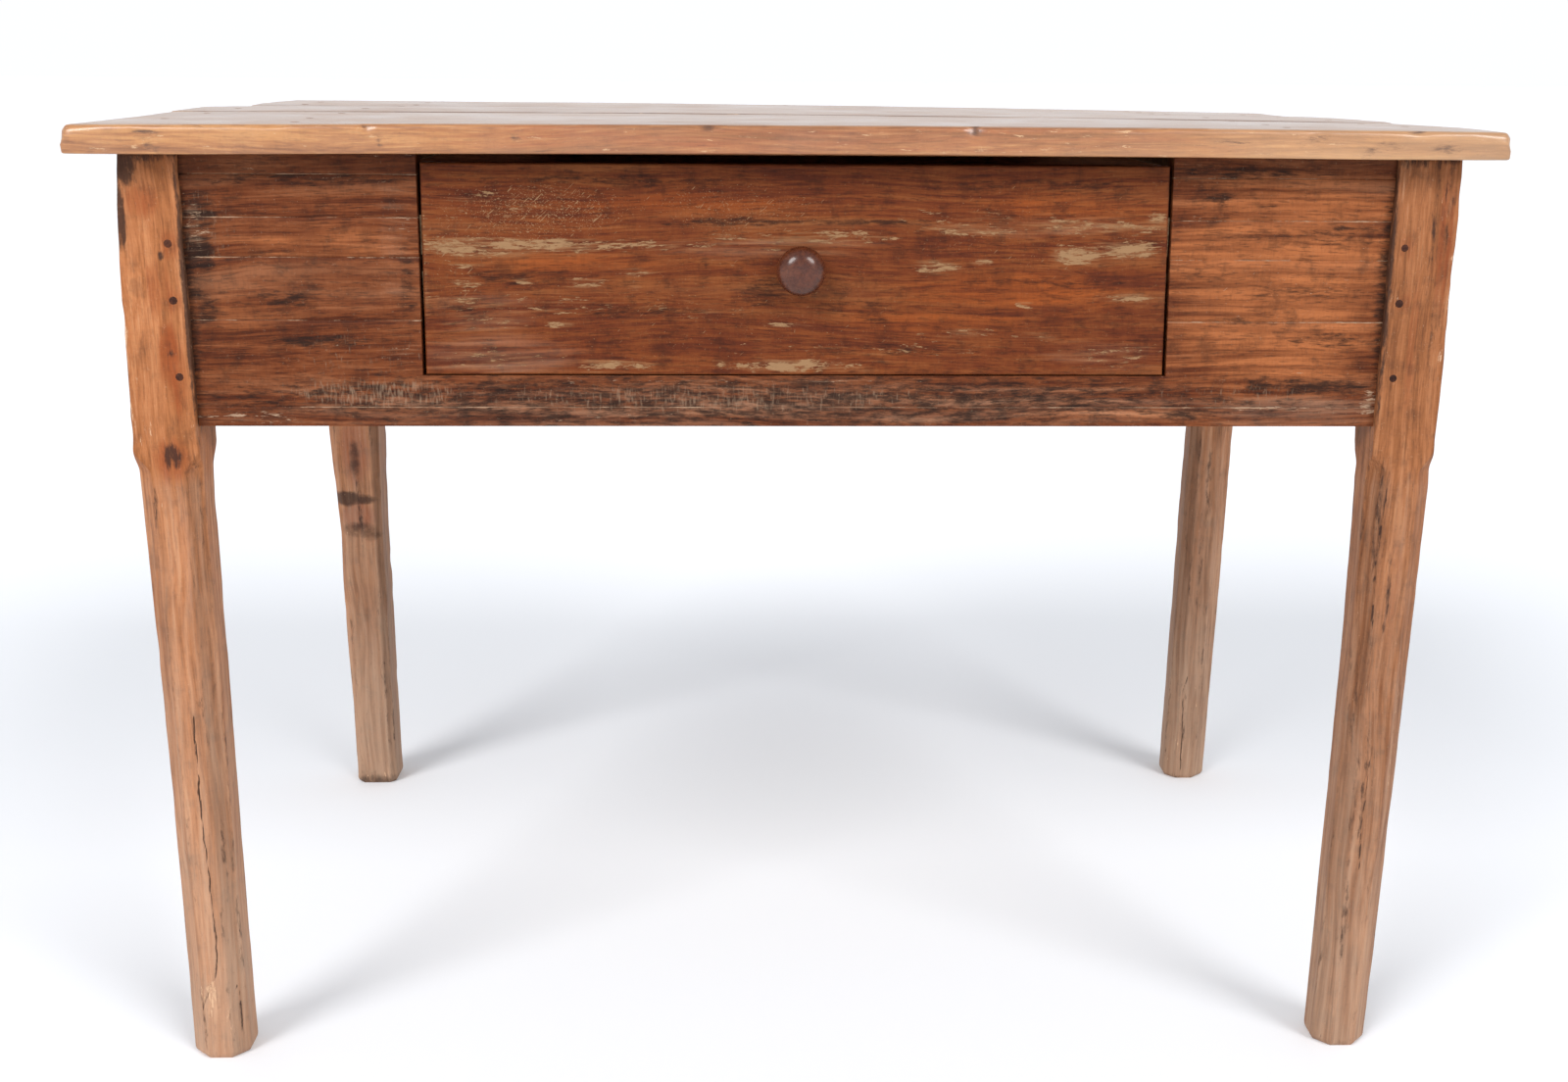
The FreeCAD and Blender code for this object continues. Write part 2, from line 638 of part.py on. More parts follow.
drawer_front = new_body("drawer_front")
board = new_sketch(drawer_front, "drawer_front_board", "XZ_Plane")
rectangle(board, f"0 - {DRAWER_WIDTH}/2", f"{DRAWER_WIDTH}/2", "0", DRAWER_FRONT_HEIGHT)
pad(drawer_front, board, "drawer_front_thickness", back=True)
for side, offset, back in (("left", f"0 - {DRAWER_WIDTH}/2", True), ("right", f"{DRAWER_WIDTH}/2", False)):
    sockets = new_sketch(drawer_front, f"drawer_front_sockets_{side}", "YZ_Plane", offset)
    for height in TAIL_HEIGHTS:
        outline(sockets, tail_corners(height, "front_lap", "joint_fit"))
    pocket(drawer_front, sockets, "drawer_side_thickness + joint_fit", back)
groove = new_sketch(drawer_front, "drawer_front_groove", "XZ_Plane", "0 - drawer_front_thickness")
groove_half = f"({BOTTOM_HALF} + bottom_fit)"
rectangle(groove, f"0 - {groove_half}", groove_half, "bottom_height", f"{BOTTOM_TOP} + bottom_fit")
pocket(drawer_front, groove, "groove_depth", back=True)
knob_hole = new_sketch(drawer_front, "drawer_front_knob_hole", "XZ_Plane")
circle(knob_hole, "knob_offset", KNOB_HEIGHT, "spigot_diameter/2 + peg_fit")
pocket(drawer_front, knob_hole, "drawer_front_thickness")
place_in_drawer(drawer_front)


def make_drawer_side(side, outer, inward):
    """A side board from its outer face inwards, with tails, groove, housing and sprig holes."""
    label = f"drawer_side_{side}"
    body = new_body(label)
    from_left = inward > 0
    inner = f"{inward}*drawer_side_thickness"
    board = new_sketch(body, f"{label}_board", "YZ_Plane")
    top = "drawer_side_height"
    shoulder = "drawer_front_thickness"
    corners = [(shoulder, "0"), (DRAWER_LENGTH, "0"), (DRAWER_LENGTH, top), (shoulder, top)]
    for height in reversed(TAIL_HEIGHTS):
        corners += tail_corners(height, "(front_lap + joint_fit)", "0")
    outline(board, corners)
    pad(body, board, "drawer_side_thickness", back=not from_left)
    groove = new_sketch(body, f"{label}_groove", "YZ_Plane", inner)
    rectangle(groove, "0", DRAWER_LENGTH, "bottom_height", f"{BOTTOM_TOP} + bottom_fit")
    pocket(body, groove, "groove_depth", back=not from_left)
    housing = new_sketch(body, f"{label}_housing", "YZ_Plane", inner)
    rectangle(housing, f"{BACK_FRONT} - joint_fit", f"{BACK_REAR} + joint_fit", BOTTOM_TOP, top)
    pocket(body, housing, "housing_depth", back=not from_left)
    for number, height in enumerate(SPRIG_HEIGHTS, start=1):
        spot = ("0" if from_left else inner, SPRIG_LINE, height)
        depth = "drawer_side_thickness"
        bore(body, f"{label}_sprig_hole_{number}", SPRIG_BORE, depth, NAIL_SIDES, spot, INTO_X)
    place_in_drawer(body, outer)


make_drawer_side("left", f"0 - {DRAWER_WIDTH}/2", 1)
make_drawer_side("right", f"{DRAWER_WIDTH}/2", -1)

drawer_back = new_body("drawer_back")
back_half = f"({DRAWER_WIDTH}/2 - drawer_side_thickness + housing_depth - joint_fit)"
board = new_sketch(drawer_back, "drawer_back_board", "XZ_Plane", f"0 - {BACK_FRONT}")
rectangle(board, f"0 - {back_half}", back_half, BOTTOM_TOP, "drawer_side_height - drawer_back_drop")
pad(drawer_back, board, "drawer_back_thickness", back=True)
sprig_bite = f"(sprig_length - {DRAWER_WIDTH}/2 + {back_half})"
for side, x in (("left", f"0 - {back_half}"), ("right", f"{back_half} - {sprig_bite}")):
    for number, height in enumerate(SPRIG_HEIGHTS, start=1):
        name = f"drawer_back_{side}_sprig_hole_{number}"
        bore(drawer_back, name, SPRIG_BORE, sprig_bite, NAIL_SIDES, (x, SPRIG_LINE, height), INTO_X)
nail_spread = f"({DRAWER_WIDTH} - 2*nail_end_margin)"
BOTTOM_NAILS = [f"({nail_spread}*{index}/2 - {nail_spread}/2)" for index in range(3)]
for number, x in enumerate(BOTTOM_NAILS, start=1):
    spot = (x, SPRIG_LINE, BOTTOM_TOP)
    bore(drawer_back, f"drawer_back_nail_hole_{number}", NAIL_BORE, "nail_bite", NAIL_SIDES, spot)
place_in_drawer(drawer_back)

sprigs = []
for side, outer, angle in (("left", f"0 - {DRAWER_WIDTH}/2", 90), ("right", f"{DRAWER_WIDTH}/2", -90)):
    for number, height in enumerate(SPRIG_HEIGHTS, start=1):
        sprig = prism(f"drawer_back_sprig_{side}_{number}", "sprig_diameter/2", "sprig_length", NAIL_SIDES)
        place_in_drawer(sprig, outer, SPRIG_LINE, height, angle, FreeCAD.Vector(0, 1, 0))
        sprigs.append(sprig)
group("drawer_back_sprigs", sprigs)

BOTTOM_FRONT = "(drawer_front_thickness - groove_depth + bottom_fit)"
BOARD_DEPTH = f"(({BACK_REAR} - {BOTTOM_FRONT} - {BOTTOM_BOARDS - 1}*bottom_fit)/{BOTTOM_BOARDS})"
for index in range(BOTTOM_BOARDS):
    body = new_body(f"drawer_bottom_board_{index + 1}")
    front = f"({BOTTOM_FRONT} + {index}*({BOARD_DEPTH} + bottom_fit))"
    board = new_sketch(body, f"drawer_bottom_{index + 1}", "XY_Plane", "bottom_height")
    rectangle(board, f"0 - {BOTTOM_HALF}", BOTTOM_HALF, front, f"{front} + {BOARD_DEPTH}")
    pad(body, board, "bottom_thickness")
    if index == BOTTOM_BOARDS - 1:
        for number, x in enumerate(BOTTOM_NAILS, start=1):
            spot = (x, SPRIG_LINE, "bottom_height")
            name = f"drawer_bottom_nail_hole_{number}"
            bore(body, name, NAIL_BORE, "bottom_thickness", NAIL_SIDES, spot)
    place_in_drawer(body)

bottom_nails = []
for number, x in enumerate(BOTTOM_NAILS, start=1):
    fixing = nail(f"drawer_bottom_nail_{number}", "(bottom_thickness + nail_bite)")
    place_in_drawer(fixing, x, SPRIG_LINE, "bottom_height", 180, FreeCAD.Vector(1, 0, 0))
    bottom_nails.append(fixing)
group("drawer_bottom_nails", bottom_nails)


# Knob: half its outline is turned about the Y axis, face of the drawer at Y = 0, dome towards -Y
knob = new_body("drawer_knob")
profile = new_sketch(knob, "knob_profile", "XY_Plane")
spigot_end = "(drawer_front_thickness + spigot_tail)"
rim_front = "(0 - knob_neck_length - knob_rim_length)"
turned = [("0", spigot_end), ("spigot_diameter/2", spigot_end), ("spigot_diameter/2", "0")]
turned += [("knob_neck_diameter/2", "0"), ("knob_neck_diameter/2", "0 - knob_neck_length")]
turned += [("knob_diameter/2", "0 - knob_neck_length"), ("knob_diameter/2", rim_front)]
dome_foot = ("(knob_diameter/2 - knob_bevel_width)", f"({rim_front} - knob_bevel_length)")
turned += [dome_foot, ("0", "0 - knob_length")]
outline(profile, turned)
dome_line = len(turned) - 2
brow = FreeCAD.Vector(value(dome_foot[0]), value(dome_foot[1]), 0)
nose = FreeCAD.Vector(0, -value("knob_length"), 0)
dome_height = brow.y - nose.y
dome_radius = (brow.x ** 2 + dome_height ** 2) / (2 * dome_height)
dome_middle = FreeCAD.Vector(0, nose.y + dome_radius, 0)
half_way = (brow + nose) / 2 - dome_middle
bulge = dome_middle + half_way.normalize() * dome_radius
profile.toggleConstruction(dome_line)
dome = profile.addGeometry(Part.Arc(brow, bulge, nose))
brow_end, nose_end = sorted((1, 2), key=lambda end: profile.getPoint(dome, end).distanceToPoint(brow))
profile.addConstraint(Sketcher.Constraint("Coincident", dome, brow_end, dome_line, 1))
profile.addConstraint(Sketcher.Constraint("Coincident", dome, nose_end, dome_line, 2))
profile.addConstraint(Sketcher.Constraint("PointOnObject", dome, 3, -2))
lathe = knob.newObject("PartDesign::Revolution", "knob_turning")
lathe.Profile = profile
lathe.ReferenceAxis = (profile, ["V_Axis"])
lathe.Angle = 360


def wedge_corners(slack, tail):
    thick = f"(wedge_thick_end/2 + {slack})"
    thin = f"(wedge_thin_end/2 + {slack})"
    inner_end = f"{spigot_end} - wedge_length - {slack}"
    return [(f"0-{thin}", inner_end), (thin, inner_end), (thick, tail), (f"0-{thick}", tail)]


kerf = new_sketch(knob, "knob_kerf", "XY_Plane", "spigot_diameter/2")
outline(kerf, wedge_corners("wedge_fit", spigot_end))
pocket(knob, kerf, "spigot_diameter")
wedge = new_body("knob_wedge")
taper = new_sketch(wedge, "wedge_taper", "XY_Plane", "0 - wedge_width/2")
outline(taper, wedge_corners("0", spigot_end))
pad(wedge, taper, "wedge_width")
for turned_piece in (knob, wedge):
    place_in_drawer(turned_piece, x="knob_offset", z=KNOB_HEIGHT)

bore_all()
doc.recompute()

# Nothing is written unless every feature worked, every cut removed wood and every piece is sound
for thing in doc.Objects:
    if "Invalid" in thing.State or "Error" in thing.State:
        raise RuntimeError(f"{thing.Name} failed: {thing.State}")
    before = {"PartDesign::Pocket": "BaseFeature", "Part::Cut": "Base"}.get(thing.TypeId)
    if before and thing.Shape.Volume >= getattr(thing, before).Shape.Volume:
        raise RuntimeError(f"{thing.Name} cut nothing")
for label, piece in pieces.items():
    if piece.Shape.isNull() or not piece.Shape.isValid():
        raise RuntimeError(f"{label} has no sound shape")

os.makedirs("parts", exist_ok=True)
for label, piece in pieces.items():
    piece.Shape.exportStep(f"parts/{label}.step")
    print(f"{label}: {len(piece.Shape.Solids)} solids, {piece.Shape.Volume / 1000:.1f} cm3")
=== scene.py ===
# %% [markdown]
# A tavern table with one drawer: four legs chamfered to octagons, four pegged aprons, three loose planks
# on top and a flush drawer with a turned knob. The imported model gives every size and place, and each piece
# below is laid over its own solid, so that what is seen and what moves stay one object.

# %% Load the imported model
import math

import bmesh
import bpy
import numpy as np
from mathutils import Matrix, Vector, noise


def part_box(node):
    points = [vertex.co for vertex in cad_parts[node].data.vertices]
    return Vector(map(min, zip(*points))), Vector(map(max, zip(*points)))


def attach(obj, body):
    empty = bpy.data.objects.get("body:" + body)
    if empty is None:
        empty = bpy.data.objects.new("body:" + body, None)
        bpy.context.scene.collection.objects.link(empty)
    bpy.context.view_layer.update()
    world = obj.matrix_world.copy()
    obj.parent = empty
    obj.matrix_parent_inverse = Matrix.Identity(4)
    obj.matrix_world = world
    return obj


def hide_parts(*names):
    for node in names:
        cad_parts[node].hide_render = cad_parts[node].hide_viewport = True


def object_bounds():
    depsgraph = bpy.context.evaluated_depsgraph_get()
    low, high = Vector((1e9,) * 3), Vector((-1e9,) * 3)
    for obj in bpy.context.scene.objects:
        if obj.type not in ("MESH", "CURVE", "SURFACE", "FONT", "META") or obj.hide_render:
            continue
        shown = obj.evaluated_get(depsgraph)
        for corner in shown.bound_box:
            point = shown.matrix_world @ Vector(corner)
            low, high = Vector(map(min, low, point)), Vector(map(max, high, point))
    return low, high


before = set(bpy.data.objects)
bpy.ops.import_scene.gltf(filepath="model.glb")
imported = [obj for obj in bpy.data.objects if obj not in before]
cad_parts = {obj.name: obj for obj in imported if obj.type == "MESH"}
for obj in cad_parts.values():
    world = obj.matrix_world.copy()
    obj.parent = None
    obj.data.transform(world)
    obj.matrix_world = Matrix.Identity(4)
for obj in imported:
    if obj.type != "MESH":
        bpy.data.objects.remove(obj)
cad_box = [list(corner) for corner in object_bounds()]
scene = bpy.context.scene
MM = 0.001
print("box of the solids in mm:", [[round(v / MM, 1) for v in corner] for corner in cad_box])

# %% [markdown]
# The camera stands where the photograph was taken. A camera can be nudged by eye until edges line up, but
# here its place and turn were worked out once from the corners of the table, so only a few numbers are left.
# The picture was cropped a little off its middle, and that is what the small shift stands for.

# %% Camera
PHOTO_WIDTH = 1600
FOCAL_PIXELS, MIDDLE_PIXEL = 1787.25, 840.97
YAW, PITCH, ROLL = 0.033, 0.26, 0.0068
CAMERA_PLACE = (-0.0154, -1.6744, 0.8166)
lens = bpy.data.cameras.new("photo_camera")
lens.sensor_width = 36
lens.lens = FOCAL_PIXELS * lens.sensor_width / PHOTO_WIDTH
lens.shift_x = (PHOTO_WIDTH / 2 - MIDDLE_PIXEL) / PHOTO_WIDTH
lens.clip_end = 600
ahead = Vector((math.sin(YAW) * math.cos(PITCH), math.cos(YAW) * math.cos(PITCH), -math.sin(PITCH)))
level = Vector((math.cos(YAW), -math.sin(YAW), 0))
upright = level.cross(ahead)
right = math.cos(ROLL) * level + math.sin(ROLL) * upright
above = math.cos(ROLL) * upright - math.sin(ROLL) * level
camera = bpy.data.objects.new("photo_camera", lens)
camera.matrix_world = Matrix((right, above, -ahead)).transposed().to_4x4()
camera.location = CAMERA_PLACE
scene.collection.objects.link(camera)
scene.camera = camera
print("lens", round(lens.lens, 2), "mm, shift", round(lens.shift_x, 4))

# %% [markdown]
# Colours are picked as sRGB hex values, the way a screen shows them, but shaders count light in linear
# steps. One function turns the first into the second. The other function adds a node with its settings and
# fills its inputs, with a number or with a link, so that a material reads like a list.


# %% Colour and nodes
def colour(hex_text):
    """An sRGB hex value as the linear colour that a shader uses."""
    parts = [int(hex_text[place:place + 2], 16) / 255 for place in (1, 3, 5)]
    return (*[p / 12.92 if p <= 0.04045 else ((p + 0.055) / 1.055) ** 2.4 for p in parts], 1)


def add(tree, kind, inputs=(), **settings):
    """Adds one node with its settings, and gives each input a value or a link."""
    node = tree.nodes.new(kind)
    for name, value in settings.items():
        setattr(node, name, value)
    for name, value in dict(inputs).items():
        if isinstance(value, bpy.types.NodeSocket):
            tree.links.new(value, node.inputs[name])
        else:
            node.inputs[name].default_value = value
    return node


print("middle grey in linear light:", round(colour("#808080")[0], 3))

# %% [markdown]
# The photograph was taken in a white studio: a white sweep all round and two big soft lights in front, one
# to each side. A wall would hide the camera in other views, so the sweep is a wide white floor and a sky that
# is white at the horizon and dimmer above. Two wide suns stand for the lights, because a sun lights the far
# floor as much as the near one. Standard colour management keeps the whites white.

# %% Floor and light
scene.view_settings.view_transform = "Standard"
HALF_FLOOR = 200
LIGHT_WIDTH, LIGHT_TILT = 26, 56
floor_mesh = bpy.data.meshes.new("studio_floor")
floor_mesh.from_pydata([(x * HALF_FLOOR, y * HALF_FLOOR, 0) for x, y in ((-1, -1), (1, -1), (1, 1), (-1, 1))],
                       [], [(0, 1, 2, 3)])
floor = bpy.data.objects.new("studio_floor", floor_mesh)
scene.collection.objects.link(floor)
sweep = bpy.data.materials.new("White studio sweep, matt paint")
sweep.use_nodes = True
paint = sweep.node_tree.nodes["Principled BSDF"]
paint.inputs["Base Color"].default_value = colour("#f2f5fa")
paint.inputs["Roughness"].default_value = 0.75
paint.inputs["Specular IOR Level"].default_value = 0.2
floor_mesh.materials.append(sweep)

sky = bpy.data.worlds.new("white_studio")
sky.use_nodes = True
scene.world = sky
tree = sky.node_tree
tree.nodes.clear()
aim = add(tree, "ShaderNodeTexCoord")
height = add(tree, "ShaderNodeSeparateXYZ", {"Vector": aim.outputs["Generated"]})
dim = add(tree, "ShaderNodeMapRange", {"Value": height.outputs["Z"], "From Min": 0.06, "From Max": 0.4,
                                       "To Min": 1.04, "To Max": 0.6})
glow = add(tree, "ShaderNodeBackground", {"Color": colour("#fafcff"), "Strength": dim.outputs["Result"]})
add(tree, "ShaderNodeOutputWorld", {"Surface": glow.outputs["Background"]})
for side, heading, strength in (("left", -38, 1.95), ("right", 40, 1.65)):
    lamp = bpy.data.lights.new(f"soft_light_{side}", "SUN")
    lamp.energy = strength
    lamp.angle = math.radians(LIGHT_WIDTH)
    lamp.color = colour("#fffdfb")[:3]
    lamp_object = bpy.data.objects.new(lamp.name, lamp)
    lamp_object.rotation_euler = (math.radians(LIGHT_TILT), 0, math.radians(heading))
    scene.collection.objects.link(lamp_object)

# %% [markdown]
# All the boards are one kind of old softwood, planed by hand, stained and waxed, then worn for a long time.
# The eye reads broad streaks along the grain, finer streaks in them, short dark pores, and on top of that
# what happened to the board: pale flakes where the finish is gone, dark stains and smears, rust-red patches,
# scratches, and pale ticks across the grain where a saw left its marks. The streaks are noise stretched
# along the board, at sizes given in millimetres. The marks sit where they sit on the table, so each mesh
# carries them as attributes, and the material only breaks up their edges.
# Some dark marks are painted shade: a band under the top, lines where the legs meet the front apron, and the
# inner front chamfers of the legs.

# %% Old wood
DUST = "#b09680"
TURN = {"x": (0, 0, 0), "y": (0, 0, -math.pi / 2), "z": (0, math.pi / 2, 0)}
# Waves to the metre, along and across the grain. The grain wanders in waves of about 220 by 70 mm, and a
# tick of the saw is about 1.6 by 7 mm.
DRIFT_WAVES, TICK_WAVES = (4.5, 14, 14), (620, 140, 140)
# Sizes in mm of the clouds, the mottles and the grit, and the turns of the four ways in which scratches run.
PATCH_SIZES = (70, 17, 2.3)
SCRATCH_TURNS = ((0.9, 0.6, 0.5), (-0.5, -1.1, -0.9), (0.3, 1.35, 1.3), (0.2, -0.3, -0.4))


def old_wood(name, grain, tones, pale, dark, rust, seed, gloss=0.46, shine=0.12, pores=0.5, blotch=0.4,
             coat=0.0, patchy=0.0, polish=0.22, relief=0.7):
    """Aged wood with its grain along one axis. Tones run from the darkest streak to the lightest, and patchy
    is how much its coat of wax differs from place to place."""
    wood = bpy.data.materials.new(name)
    wood.use_nodes = True
    tree = wood.node_tree
    tree.nodes.clear()
    place = add(tree, "ShaderNodeTexCoord")
    turned = add(tree, "ShaderNodeMapping", {"Vector": place.outputs["Object"], "Rotation": TURN[grain],
                                             "Location": (seed * 0.37, seed * 0.113, seed * 0.071)})
    drift = add(tree, "ShaderNodeMapping", {"Vector": turned.outputs[0], "Scale": DRIFT_WAVES})
    wander = add(tree, "ShaderNodeTexNoise", {"Vector": drift.outputs[0], "Scale": 1, "Detail": 1.5})
    bent = add(tree, "ShaderNodeVectorMath", {0: wander.outputs["Color"], 1: (0, 0.022, 0.022),
                                              2: turned.outputs[0]}, operation="MULTIPLY_ADD")

    def streaks(along, across, detail, harsh=0.6, source=bent):
        """Noise stretched along the grain, with its length and width in mm, and how harsh its detail is."""
        size = (1 / (along * MM), 1 / (across * MM), 1 / (across * MM))
        stretched = add(tree, "ShaderNodeMapping", {"Vector": source.outputs[0], "Scale": size})
        return add(tree, "ShaderNodeTexNoise", {"Vector": stretched.outputs[0], "Scale": 1, "Detail": detail,
                                                "Roughness": harsh}).outputs["Fac"]

    broad, middling = streaks(320, 18, 1), streaks(130, 5, 2)
    fine, pits = streaks(38, 2.0, 4), streaks(14, 1.5, 2)
    figure = 0.0
    for texture, weight in ((broad, 0.30), (middling, 0.30), (fine, 0.40)):
        figure = add(tree, "ShaderNodeMath", {0: texture, 1: weight, 2: figure},
                     operation="MULTIPLY_ADD").outputs[0]
    ramp = add(tree, "ShaderNodeValToRGB", {"Fac": figure})
    while len(ramp.color_ramp.elements) < len(tones):
        ramp.color_ramp.elements.new(0.5)
    for element, at, tone in zip(ramp.color_ramp.elements, np.linspace(0.41, 0.59, len(tones)), tones):
        element.position, element.color = at, colour(tone)

    cloud, mottle, grit = (
        add(tree, "ShaderNodeTexNoise", {"Vector": turned.outputs[0], "Scale": 1 / (size * MM), "Detail": 5,
                                         "Roughness": 0.65}).outputs["Fac"] for size in PATCH_SIZES)
    crosscut = add(tree, "ShaderNodeMapping", {"Vector": turned.outputs[0], "Scale": TICK_WAVES})
    ticks = add(tree, "ShaderNodeTexNoise", {"Vector": crosscut.outputs[0], "Scale": 1,
                                             "Detail": 3}).outputs["Fac"]
    speckle, flakes = streaks(16, 3.4, 5, 0.7), streaks(22, 4.0, 5, 0.78)
    ways = [add(tree, "ShaderNodeMapping", {"Vector": turned.outputs[0], "Rotation": turn})
            for turn in SCRATCH_TURNS]
    scrapes = [streaks(19, 1.0, 1, 0.6, way) for way in ways]
    # What lies over the bare streaks, from the first to the last. Each layer has its texture, the values
    # where it begins and is full, how much it covers, its colour, the mark that calls for it, and how much
    # the texture weighs beside the mark.
    # The grime and stain layers draw painted shade as well as dirt and stains.
    layers = [(middling, 1.2, 2.4, 0.9, rust, "rust", 2.0), (cloud, 0.44, 0.70, blotch, tones[0], None, 0),
              (pits, 0.53, 0.66, pores, dark, None, 0), (ticks, 0.46, 0.70, 0.3 * pores, dark, None, 0),
              (mottle, 0.50, 0.70, blotch, dark, None, 0),
              (mottle, 0.50, 0.30, 0.5 * blotch, tones[-1], None, 0),
              (speckle, 0.25, 1.2, 0.42, dark, "grime_and_shade", 0.3), (middling, 0.4, 1.4, 0.9, DUST, "dust", 0.6),
              (broad, 0.5, 1.7, 0.6, pale, "lightened", 1.0), (mottle, 0.95, 1.7, 0.8, dark, "smear", 1.2),
              (speckle, 1.75, 2.6, 0.85, dark, "stain_and_shade", 3.0), (ticks, 1.45, 2.2, 0.55, pale, "sawn", 1.8),
              (fine, 2.0, 3.2, 0.5, pale, "worn", 3.0), (grit, 0.60, 0.76, 0.25, pale, None, 0)]
    layers += [(scrape, 2.0, 2.15, 0.85, pale, "scratched", 2.0) for scrape in scrapes]
    layers += [(flakes, 3.5, 3.82, 0.9, pale, "worn", 5.2)]
    look = ramp.outputs["Color"]
    for texture, begins, full, cover, tint, mark, weight in layers:
        if mark:
            there = add(tree, "ShaderNodeAttribute", attribute_name=mark)
            texture = add(tree, "ShaderNodeMath", {0: texture, 1: weight, 2: there.outputs["Fac"]},
                          operation="MULTIPLY_ADD").outputs[0]
        share = add(tree, "ShaderNodeMapRange", {"Value": texture, "From Min": begins, "From Max": full,
                                                 "To Max": cover},
                    interpolation_type="SMOOTHSTEP").outputs["Result"]
        look = add(tree, "ShaderNodeMix", {0: share, 6: look, 7: colour(tint)}, data_type="RGBA").outputs[2]

    # The last layer is bare wood: rougher than the finish, and a little lower.
    rough = add(tree, "ShaderNodeMath", {0: share, 1: 0.28, 2: gloss}, operation="MULTIPLY_ADD")
    rough = add(tree, "ShaderNodeMath", {0: fine, 1: 0.16, 2: rough.outputs[0]}, operation="MULTIPLY_ADD")
    height = add(tree, "ShaderNodeMath", {0: pits, 1: -0.7, 2: fine}, operation="MULTIPLY_ADD")
    height = add(tree, "ShaderNodeMath", {0: share, 1: -0.5, 2: height.outputs[0]}, operation="MULTIPLY_ADD")
    bump = add(tree, "ShaderNodeBump", {"Height": height.outputs[0], "Distance": 0.35 * MM,
                                        "Strength": relief})
    wax = add(tree, "ShaderNodeMapRange", {"Value": cloud, "From Min": 0.35, "From Max": 0.65,
                                           "To Min": coat - patchy, "To Max": coat + patchy})
    shader = add(tree, "ShaderNodeBsdfPrincipled", {
        "Base Color": look, "Roughness": rough.outputs[0], "IOR": 1.5, "Specular IOR Level": shine,
        "Normal": bump.outputs[0], "Coat Weight": wax.outputs["Result"], "Coat Roughness": polish})
    add(tree, "ShaderNodeOutputMaterial", {"Surface": shader.outputs[0]})
    return wood


print("grain can run along", ", ".join(TURN))

# %% Woods of the table
# The top is the palest: scrubbed often, waxed, tan with grey in the pores.
top_wood = old_wood("Scrubbed and waxed old pine, tan", "x", ["#83532f", "#96623a", "#a46d40", "#b47e4b"],
                    "#c29a70", "#4a2f22", "#8f4a2a", 12, gloss=0.30, shine=0.5, pores=0.22, blotch=0.12,
                    coat=0.72, patchy=0.28, relief=0.4)
# The legs are orange-brown, with long vertical streaks.
leg_wood = old_wood("Waxed old pine, orange brown", "z", ["#86512f", "#9a6039", "#a96b43", "#b67a50"],
                    "#c8a283", "#2c1f1c", "#8a4320", 2, gloss=0.50, pores=0.22, blotch=0.28)
# Aprons and drawer front were stained red brown, and the stain has stayed.
APRON_TONES = ["#4b210e", "#633117", "#703c1f", "#804b2d"]
apron_wood = {axis: old_wood(f"Red-brown stained pine, {word}", axis, APRON_TONES, "#a0846c", "#1b110d",
                             "#a8643a", number, gloss=0.48, pores=0.42)
              for axis, word, number in (("x", "front and rear", 3), ("y", "sides", 4))}
front_wood = old_wood("Red-brown stained pine, drawer front", "x",
                      ["#532411", "#652f14", "#703919", "#7c4522"], "#907050", "#26120b", "#93491c", 5,
                      gloss=0.46, pores=0.42)
# The inside was never finished. The drawer stayed dry and pale, and the strips of the frame went brown.
DRY_TONES = ["#8c6a48", "#a98660", "#c1a07a", "#d0b38f"]
dry_wood = {axis: old_wood(f"Dry unfinished pine, {word}", axis, DRY_TONES, "#dcc7a6", "#4b3826", "#7d4c2c",
                           number, gloss=0.62, shine=0.3)
            for axis, word, number in (("x", "along the table", 6), ("y", "across the table", 7))}
strip_wood = old_wood("Unfinished pine, brown with age", "y", ["#4a3424", "#5f4530", "#74563c", "#86664a"],
                      "#a08060", "#2b1c12", "#5d3a22", 11, gloss=0.62)
# Peg heads show end grain, which drinks the finish and goes dark. Those in the top are scrubbed with it.
peg_wood = old_wood("End grain of riven pegs, dark", "y", ["#2c1711", "#3e2219", "#552f20"], "#8d6a4f",
                    "#170d0a", "#6b2a1a", 8, gloss=0.5)
top_peg_wood = old_wood("End grain of scrubbed pegs, brown", "z", ["#6d4529", "#80553a", "#946548"],
                        "#b08a68", "#3c2418", "#7a3c22", 10, gloss=0.4, coat=0.4)
print(len(bpy.data.materials), "materials so far")

# %% [markdown]
# A turned knob is polished harder than a board, and hands keep it so: dark brown, with soft clear
# reflections. The nails are hand-forged iron, black with a little rust.

# %% Knob and iron
knob_wood = old_wood("Turned hardwood knob, dark polish", "y", ["#421d10", "#522715", "#5f301a"], "#7d5440",
                     "#1d0d08", "#54271c", 9, gloss=0.2, shine=0.3, pores=0.25, blotch=0.2,
                     coat=0.38, polish=0.12, relief=0.08)
# Forged iron is black and dull, with scale and rust in patches of about 3 mm.
RUST_SIZE = 3
iron = bpy.data.materials.new("Forged iron, black with rust")
iron.use_nodes = True
tree = iron.node_tree
place = add(tree, "ShaderNodeTexCoord")
scale_noise = add(tree, "ShaderNodeTexNoise", {"Vector": place.outputs["Object"], "Detail": 4,
                                               "Scale": 1 / (RUST_SIZE * MM)})
rusty = add(tree, "ShaderNodeMix", {0: scale_noise.outputs["Fac"], 6: colour("#241d1a"),
                                    7: colour("#6a3a22")}, data_type="RGBA")
hammered = add(tree, "ShaderNodeBump", {"Height": scale_noise.outputs["Fac"], "Distance": 0.3 * MM})
metal = tree.nodes["Principled BSDF"]
metal.inputs["Metallic"].default_value = 0.8
metal.inputs["Roughness"].default_value = 0.6
tree.links.new(rusty.outputs[2], metal.inputs["Base Color"])
tree.links.new(hammered.outputs[0], metal.inputs["Normal"])
print("iron:", iron.name)

